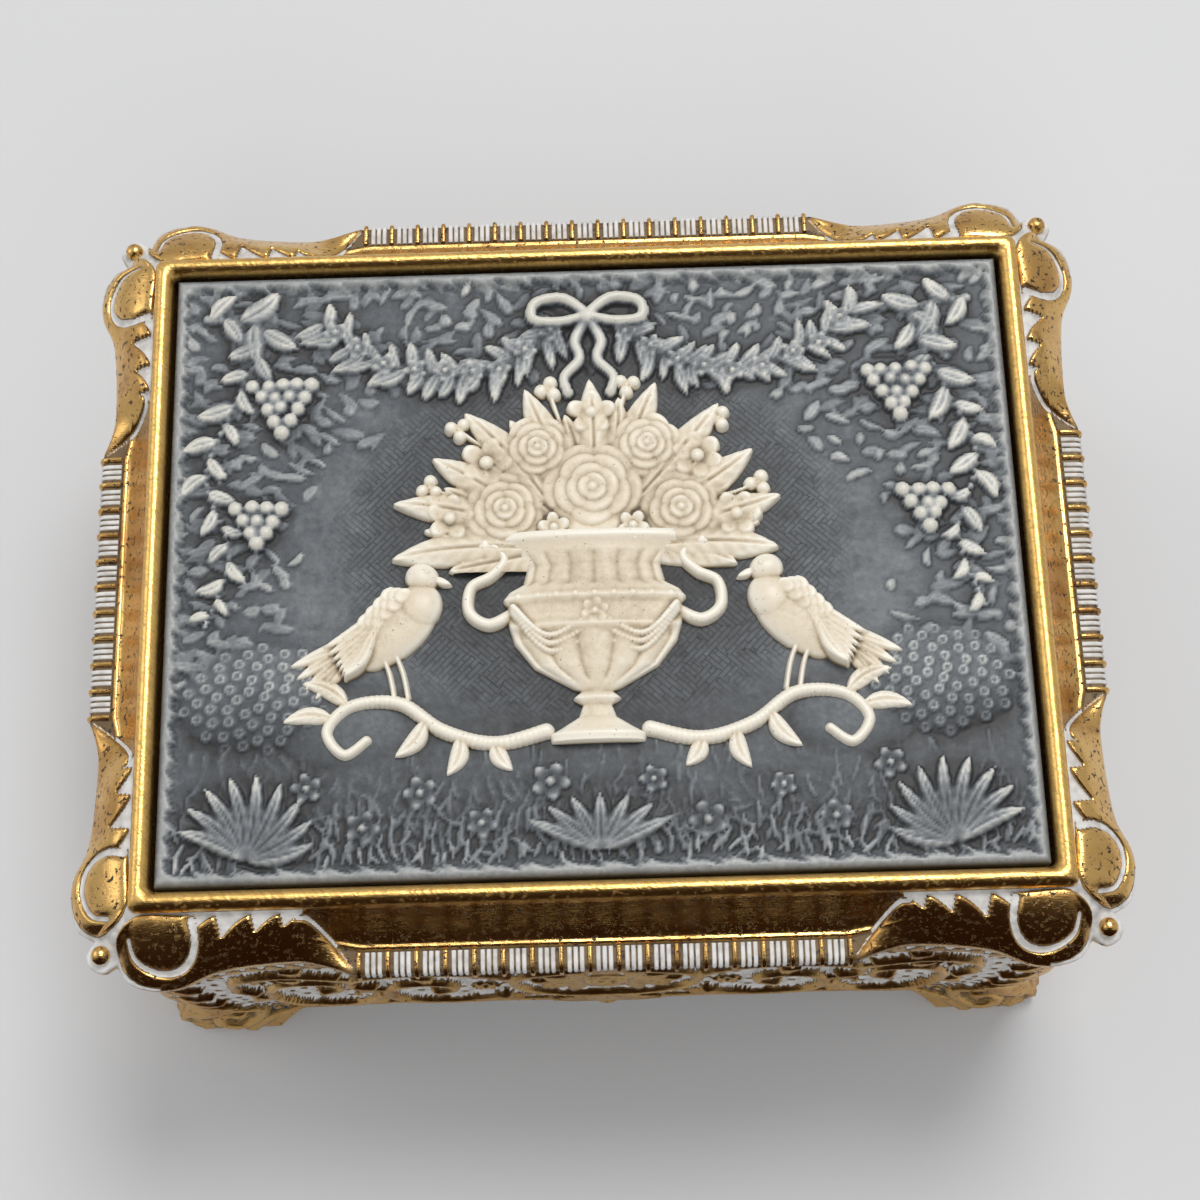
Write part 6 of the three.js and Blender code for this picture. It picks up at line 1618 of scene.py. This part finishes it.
def clearMaterial():
    material, tree, coords = newMaterial("acrylic")
    smear = ranged(tree, noise(tree, coords, 60, 3, 0.6), 0.4, 0.75, 0.01, 0.05)
    look = {"Base Color": acrylic["colour"], "Roughness": smear}
    setLook(material, look | {"IOR": acrylic["ior"], "Transmission Weight": 1.0})
    # light passes the sheet straight through, so that what lies below it is lit
    path = put(tree, "ShaderNodeLightPath").outputs
    passing = maths(tree, "MAXIMUM", path["Is Shadow Ray"], path["Is Diffuse Ray"])
    letThrough(material, passing, acrylic["passing"])
    return material


plastic = {"ivory": (0.74, 0.70, 0.58), "yellowed": (0.66, 0.61, 0.48)}


def plasticMaterial():
    material, tree, coords = newMaterial("moulded_plastic")
    grain = useGroup(tree, grainGroup, Vector=coords, Scale=1800.0)["Height"]
    cloud = ranged(tree, noise(tree, coords, 120, 2), 0.3, 0.7)
    colour = blended(tree, cloud, plastic["ivory"], plastic["yellowed"])
    look = {"Base Color": colour, "Roughness": 0.42, "Normal": bump(tree, grain, 0.08, 0.00005)}
    return setLook(material, look | {"Subsurface Weight": 0.1, "Subsurface Scale": 0.001})


finishes = {name: metalMaterial(name + "_metal", *look) for name, look in metals.items()}
finishes["velvet"] = velvetMaterial()
finishes["clear"] = clearMaterial()
finishes["plastic"] = plasticMaterial()
finishes["gilt"] = caseGilt
print("materials for the inside are made")


# Pieces whose shape comes from their node: the flats are merged and the edges softened.
# node: (finish, slot, how wide the softened edges are)

nodeFinishes = {
    "case_body": ("gilt", "gilt", 0.25),
    "hinge_pin": ("steel", "steel", 0.1),
    "base_plate": ("nickel", "steel", 0.25),
    "well_lining": ("velvet", "velvet", 0.35),
    "bay_lining": ("velvet", "velvet", 0.35),
    "clear_cover": ("clear", "clear", 0.2),
    "movement_bedplate": ("nickel", "nickel", 0.3),
    "spring_housing": ("nickel", "nickel", 0.3),
    "housing_floor": ("steel", "steel", 0.1),
    "mainspring": ("blued", "steel", 0.03),
    "comb": ("steel", "steel", 0.06),
    "governor_frame": ("brass", "nickel", 0.12),
    "stop_bracket": ("steel", "steel", 0.1),
    "stop_pivot_pin": ("steel", "steel", 0.1),
    "stop_spring": ("brass", "brass", 0.04),
    "stop_lever": ("steel", "steel", 0.08),
    "stop_plunger": ("steel", "steel", 0.12),
    "winding_arbor": ("steel", "steel", 0.1),
    "drive_gear": ("brass", "brass", 0.06),
    "ratchet_wheel": ("steel", "steel", 0.08),
    "ratchet_click": ("steel", "steel", 0.06),
    "winding_key": ("brass", "brass", 0.35),
    "cylinder_arbor": ("steel", "steel", 0.1),
    "cylinder_wheel": ("brass", "brass", 0.06),
    "great_wheel": ("brass", "brass", 0.05),
    "governor_pinion": ("steel", "steel", 0.04),
    "governor_arbor": ("steel", "steel", 0.06),
    "worm_wheel": ("plastic", "plastic", 0.05),
    "governor_worm": ("steel", "steel", 0.05),
    "governor_fan": ("brass", "brass", 0.08),
}


def finishNode(node, finish, softness):
    def soften(shape):
        shape.transform(Matrix.Scale(1 / mm, 4))
        weld(shape, 0.002)
        flat = math.radians(0.6)
        bmesh.ops.dissolve_limit(shape, angle_limit=flat, verts=shape.verts, edges=shape.edges)
        turn = math.radians(32)
        sharp = [e for e in shape.edges if len(e.link_faces) == 2 and e.calc_face_angle(0) > turn]
        values = {"offset": softness, "segments": 2, "profile": 0.5, "affect": "EDGES"}
        bmesh.ops.bevel(shape, geom=sharp, clamp_overlap=True, **values)
        weld(shape, 0.001)
        shape.transform(Matrix.Scale(mm, 4))

    mesh = frame["nodes"][node].data.copy()
    mesh.name = node + "_finish"
    reshape(mesh, soften)
    mesh.materials.clear()
    mesh.materials.append(finishes[finish])
    piece = newObject(node + "_finish", mesh)
    sharpen(piece, 40)
    even = piece.modifiers.new("even_flats", "WEIGHTED_NORMAL")
    even.keep_sharp = True
    even.weight = 100
    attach(piece, frame["nodes"][node]["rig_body"])
    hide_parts(node)


for node, (finish, slotName, softness) in nodeFinishes.items():
    finishNode(node, finish, softness)
print("pieces from the nodes are made")


# Padded boards: one under the lid and one in the well

pads = {
    "spacing": 0.7,
    "quilt": 11.5,  # between the quilting's seams
    "seam": 0.85,
    "crown": 0.7,
    "edge": 1.1,
    "plungerRoom": 4.5,
}


def makePad(name, node, facing, crown, seam, dents=()):
    # the node's board with a padded face, up or down, of quilted diamonds
    low, high = nodeBox(node)
    half = (high - low)[:2] / 2
    middle = (low + high)[:2] / 2
    steps = [np.linspace(-h, h, int(2 * h / pads["spacing"]) + 1) for h in half]
    ends = pads["edge"] * (1 - np.cos(np.radians([0, 20, 40, 60, 80])))
    steps = [np.concatenate([s[0] + ends, s[3:-3], (s[-1] - ends)[::-1]]) for s in steps]
    x, y = np.meshgrid(*steps)
    edge = np.minimum(half[0] - np.abs(x), half[1] - np.abs(y))
    fold = 0.35 * ripple(0.33 * (x + 0.6 * y)) * ripple(0.21 * (y - 0.4 * x) + 2)
    slants = [(slant / pads["quilt"] + 0.5) % 1 - 0.5 for slant in (x + y + fold, x - y - fold)]
    away = [np.abs(slant) * pads["quilt"] for slant in slants]
    puff = smoothStep(away[0], 0, 3.2) * smoothStep(away[1], 0, 3.2)
    knot = np.exp(-((away[0] ** 2 + away[1] ** 2) / 2.2))
    rise = crown * smoothStep(edge, 0, 9) - seam * smoothStep(edge, 1.5, 4) * (1 - puff + 0.45 * knot)
    rise += 0.07 * fold
    for place in dents:
        far = np.hypot(x + middle[0] - place[0], y + middle[1] - place[1])
        rise = np.minimum(rise, mix(-0.15, crown, smoothStep(far, 1.6, pads["plungerRoom"])))
    corner = np.clip(1 - edge / pads["edge"], 0, 1)
    rise = rise - 0.8 * pads["edge"] * (1 - np.sqrt(1 - corner**2))
    face, back = (high[2], low[2]) if facing > 0 else (low[2], high[2])
    top = np.column_stack([x.ravel() + middle[0], y.ravel() + middle[1], (face + facing * rise).ravel()])
    under = np.column_stack([x.ravel() + middle[0], y.ravel() + middle[1], np.full(x.size, back)])
    quads = gridQuads(*x.shape)
    border = gridBorder(*x.shape)
    after = np.roll(border, -1)
    side = np.stack([border, border + x.size, after + x.size, after], 1)
    piece = newPiece(name, np.vstack([top, under]), [quads, quads + x.size, side], finishes["velvet"])
    facesOutward(piece)
    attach(piece, frame["nodes"][node]["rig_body"])
    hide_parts(node)


plungerLow, plungerHigh = nodeBox("stop_plunger")
makePad("lid_pad", "lid_lining", -1, pads["crown"], pads["seam"], [(plungerLow + plungerHigh)[:2] / 2])
makePad("well_cushion", "well_pad", 1, 0.25, 1.0)
print("padded boards are made")


# Cylinder: a turned barrel with its pins in one track to a note

cylinder = {
    "radius": 6.5,
    "bore": 1.0,
    "notes": 18,
    "pins": 290,
    "pinRadius": 0.23,
    "pinLength": 0.98,
    "pinRoot": 0.3,  # how deep it starts
    "edge": 0.3,
    "groove": [(4.9, 0), (5.1, 0.5), (5.9, 0.5), (6.1, 0)],  # in each end, by radius and depth
    "trackHalf": 0.06,
    "trackDepth": 0.05,
    "seed": 11,
}


def makePinTree():
    sizes = {"Pins": 280, "Tracks": 18, "Axis": (0.0, 0.0, 0.0), "Radius": 0.0065, "Pitch": 0.001}
    sizes |= {"Pin Radius": 0.0002, "Pin Length": 0.0015, "Seed": 1}
    tree, given, out = newGeometryTree("pins", sizes)
    index = put(tree, "GeometryNodeInputIndex").outputs[0]
    track = maths(tree, "MODULO", index, given["Tracks"])
    values = {2: 0.0, 3: 2 * math.pi, "ID": index, "Seed": given["Seed"]}
    turn = put(tree, "FunctionNodeRandomValue", values, data_type="FLOAT").outputs[1]
    along = times(tree, maths(tree, "ADD", track, 1.0), given["Pitch"])
    outward = vectorOf(tree, maths(tree, "SINE", turn), 0.0, maths(tree, "COSINE", turn))
    values = {0: outward, "Scale": given["Radius"]}
    place = put(tree, "ShaderNodeVectorMath", values, operation="SCALE").outputs[0]
    for shift in (vectorOf(tree, y=along), given["Axis"]):
        place = put(tree, "ShaderNodeVectorMath", {0: place, 1: shift}, operation="ADD").outputs[0]
    points = put(tree, "GeometryNodePoints", {"Count": given["Pins"], "Position": place}).outputs[0]
    values = {"Vertices": 7, "Radius Bottom": given["Pin Radius"], "Depth": given["Pin Length"]}
    values["Radius Top"] = times(tree, given["Pin Radius"], 0.72)
    pin = put(tree, "GeometryNodeMeshCone", values).outputs["Mesh"]
    values = {"Factor": 1.0, "Vector": outward}
    facing = put(tree, "FunctionNodeAlignRotationToVector", values, axis="Z").outputs[0]
    values = {"Points": points, "Instance": pin, "Rotation": facing}
    pins = put(tree, "GeometryNodeInstanceOnPoints", values).outputs[0]
    finishTree(tree, pins, out, finishes["steel"])
    return tree


def makeCylinder():
    low, high = nodeBox("pinned_cylinder")
    middle = (low + high) / 2
    edge, radius = cylinder["edge"], cylinder["radius"]
    first, last = low[1], high[1]
    shape = [(cylinder["bore"], first)] + [(r, first + depth) for r, depth in cylinder["groove"]]
    shape += [(radius - edge, first), (radius, first + edge)]
    tracks = (last - first) / (cylinder["notes"] + 1)
    half, deep = cylinder["trackHalf"], radius - cylinder["trackDepth"]
    for note in range(cylinder["notes"]):
        at = first + tracks * (note + 1.5)
        if at < last - edge - 0.1:
            shape += [(radius, at - half), (deep, at), (radius, at + half)]
    shape += [(radius, last - edge), (radius - edge, last)]
    shape += [(r, last - depth) for r, depth in cylinder["groove"][::-1]] + [(cylinder["bore"], last)]
    turns = np.linspace(0, 2 * np.pi, 97)[:-1]
    points = []
    for r, y in shape:
        x, z = middle[0] + r * np.sin(turns), middle[2] + r * np.cos(turns)
        points.append(np.column_stack([x, np.full(len(turns), y), z]))
    faces = gridQuads(len(shape), len(turns), wrapRows=True, wrapColumns=True)
    barrel = newPiece("cylinder_barrel", np.vstack(points), [faces], finishes["turned"])
    facesOutward(barrel)
    sharpen(barrel, 30)
    values = {"Pins": cylinder["pins"], "Tracks": cylinder["notes"], "Seed": cylinder["seed"]}
    values["Axis"] = (middle[0] * mm, first * mm, middle[2] * mm)
    sizes = {"Radius": radius - cylinder["pinRoot"], "Pitch": tracks}
    sizes |= {"Pin Radius": cylinder["pinRadius"], "Pin Length": cylinder["pinLength"]}
    values |= {name: size * mm for name, size in sizes.items()}
    pins = pieceFromMeshes("cylinder_pins", [(meshFromTree(makePinTree(), values), Matrix.Identity(4))])
    for piece in (barrel, pins):
        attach(piece, "cylinder")
    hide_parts("pinned_cylinder")


makeCylinder()
print("cylinder and pins are made")


# Slotted screws, all from one tree

screws = {
    "large": {"head": 2.2, "height": 1.4, "shank": 1.15, "slot": 0.5},
    "small": {"head": 1.5, "height": 0.9, "shank": 0.75, "slot": 0.4},
    "rows": [
        ("large", "up", ["base_screw_front_left", "base_screw_front_right"]),
        ("large", "up", ["base_screw_rear_left", "base_screw_rear_right"]),
        ("large", "up", ["movement_screw_1", "movement_screw_2", "movement_screw_3"]),
        ("large", "down", ["comb_screw_1", "comb_screw_2"]),
        ("small", "down", ["housing_screw_1", "housing_screw_2", "housing_screw_3"]),
        ("small", "down", ["governor_screw"]),
        ("small", "down", ["stop_screw"]),
    ],
}


def makeScrewTree():  # a screw hangs from its head, which starts at the point
    sizes = {"Head Radius": 2.0, "Head Height": 1.0, "Shank Radius": 1.0, "Length": 6.0}
    sizes |= {"Slot Width": 0.5, "Scale": 0.001, "Turn Over": 0.0, "Seed": 1}
    tree, given, out = newGeometryTree("screws", sizes)
    height, radius = given["Head Height"], given["Head Radius"]

    def lifted(mesh, height):
        values = {"Geometry": mesh, "Translation": vectorOf(tree, z=height)}
        return put(tree, "GeometryNodeTransform", values).outputs[0]

    def bar(bottom, top, lower, upper):
        depth = maths(tree, "SUBTRACT", top, bottom)
        values = {"Vertices": 40, "Radius Top": upper, "Radius Bottom": lower, "Depth": depth}
        return lifted(put(tree, "GeometryNodeMeshCone", values).outputs["Mesh"], bottom)

    head = bar(0.0, times(tree, height, 0.75), radius, radius)
    crown = bar(times(tree, height, 0.74), height, radius, times(tree, radius, 0.86))
    thin = given["Shank Radius"]
    shank = bar(times(tree, given["Length"], -1.0), times(tree, height, 0.3), thin, thin)
    size = vectorOf(tree, times(tree, radius, 3.0), given["Slot Width"], height)
    cut = lifted(put(tree, "GeometryNodeMeshCube", {"Size": size}).outputs["Mesh"], height)
    whole = put(tree, "GeometryNodeMeshBoolean", operation="UNION")
    for part in (head, crown, shank):
        tree.links.new(part, whole.inputs[1])
    slotted = put(tree, "GeometryNodeMeshBoolean", {0: whole.outputs[0]}, operation="DIFFERENCE")
    tree.links.new(cut, slotted.inputs[1])
    index = put(tree, "GeometryNodeInputIndex").outputs[0]
    values = {2: 0.0, 3: math.pi, "ID": index, "Seed": given["Seed"]}
    turn = put(tree, "FunctionNodeRandomValue", values, data_type="FLOAT").outputs[1]
    values = {"Points": given["Geometry"], "Instance": slotted.outputs[0], "Scale": given["Scale"]}
    values["Rotation"] = vectorOf(tree, given["Turn Over"], 0.0, turn)
    placed = put(tree, "GeometryNodeInstanceOnPoints", values).outputs[0]
    finishTree(tree, placed, out, finishes["blued"])
    return tree


def makeScrews():
    tree = makeScrewTree()
    meshes, nodes = [], []
    for seed, (kind, facing, names) in enumerate(screws["rows"]):
        size = screws[kind]
        places = []
        for low, high in [nodeBox(name) for name in names]:
            x, y = (low + high)[:2] / 2
            z = low[2] + size["height"] if facing == "up" else high[2] - size["height"]
            places.append((x * mm, y * mm, z * mm))
        start = bpy.data.meshes.new("places")
        start.from_pydata(places, [], [])
        low, high = nodeBox(names[0])
        values = {"Head Radius": size["head"], "Head Height": size["height"], "Shank Radius": size["shank"]}
        values |= {"Slot Width": size["slot"], "Length": high[2] - low[2] - size["height"], "Seed": seed}
        values |= {"Scale": mm, "Turn Over": math.pi if facing == "up" else 0.0}
        meshes.append((meshFromTree(tree, values, start), Matrix.Identity(4)))
        nodes += names
    piece = pieceFromMeshes("screws", meshes)
    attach(piece, "case")
    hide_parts(*nodes)


makeScrews()
print("screws are made")


# Floor, lamps and world

stage = {
    "floor": (0.63, 0.63, 0.632),
    "mottle": (0.5, 0.5, 0.5),
    "size": 20000,
    "sky": (0.80, 0.81, 0.83),
    "skyLevel": 0.62,
    "darkSide": (0.05, 0.03, 0.022),
    "card": (0.022, 0.009, 0.006),
    # name, place and width in metres, and power in watts
    "lamps": [
        ("ceiling", (0.16, 0.36, 0.92), 0.45, 5.2),
        ("window", (-0.85, 0.25, 0.65), 0.6, 1.3),
        ("fill", (0.05, -0.42, 0.48), 0.4, 1.0),
    ],
}


def makeFloor():
    material, tree, coords = newMaterial("floor")
    mottle = ranged(tree, noise(tree, coords, 3, 2), 0.3, 0.7, 0.0, 0.06)
    colour = blended(tree, mottle, stage["floor"], stage["mottle"])
    setLook(material, {"Base Color": colour, "Roughness": 0.75})
    # from below the floor can be seen through
    letThrough(material, put(tree, "ShaderNodeNewGeometry").outputs["Backfacing"])
    size = stage["size"]
    points = [(-size, -size, 0), (size, -size, 0), (size, size, 0), (-size, size, 0)]
    floor = newPiece("floor", points, [[(0, 1, 2, 3)]], material)


def makeCard():  # dark, in front of the box, and seen only as a reflection
    rows = [(190, -78, 2), (560, -600, 1150), (500, -190, 1500)]
    points = [(side * x, y, z) for x, y, z in rows for side in (-1, 1)]
    material = newMaterial("card")[0]
    setLook(material, {"Base Color": stage["card"], "Roughness": 1.0, "Specular IOR Level": 0.0})
    card = newPiece("card", points, [gridQuads(3, 2)], material)
    for rays in ("camera", "diffuse", "shadow", "transmission"):
        setattr(card, "visible_" + rays, False)


def makeLamps():
    for name, place, size, power in stage["lamps"]:
        data = bpy.data.lights.new(name, "AREA")
        data.shape = "DISK"
        data.size = size
        data.energy = power
        lamp = newObject(name, data)
        lamp.location = place
        lamp.rotation_euler = (-Vector(place)).to_track_quat("-Z", "Y").to_euler()
        lamp.visible_glossy = name != "fill"


def makeWorld():  # a pale room that is dark towards the front, which only surfaces see
    world = bpy.data.worlds.new("room")
    world.use_nodes = True
    tree = world.node_tree
    background = tree.nodes["Background"]
    direction = put(tree, "ShaderNodeTexCoord").outputs["Generated"]
    split = put(tree, "ShaderNodeSeparateXYZ", {"Vector": direction}).outputs
    forward = ranged(tree, times(tree, split["Y"], -1.0), 0.45, 0.8)
    dark = times(tree, forward, ranged(tree, split["Z"], 0.02, 0.2))
    seen = put(tree, "ShaderNodeLightPath").outputs["Is Camera Ray"]
    colour = blended(tree, times(tree, dark, opposite(tree, seen)), stage["sky"], stage["darkSide"])
    tree.links.new(colour, background.inputs["Color"])
    background.inputs["Strength"].default_value = stage["skyLevel"]
    bpy.context.scene.world = world


makeFloor()
makeCard()
makeLamps()
makeWorld()
bpy.context.scene.view_settings.view_transform = "Standard"
print("stage is set")
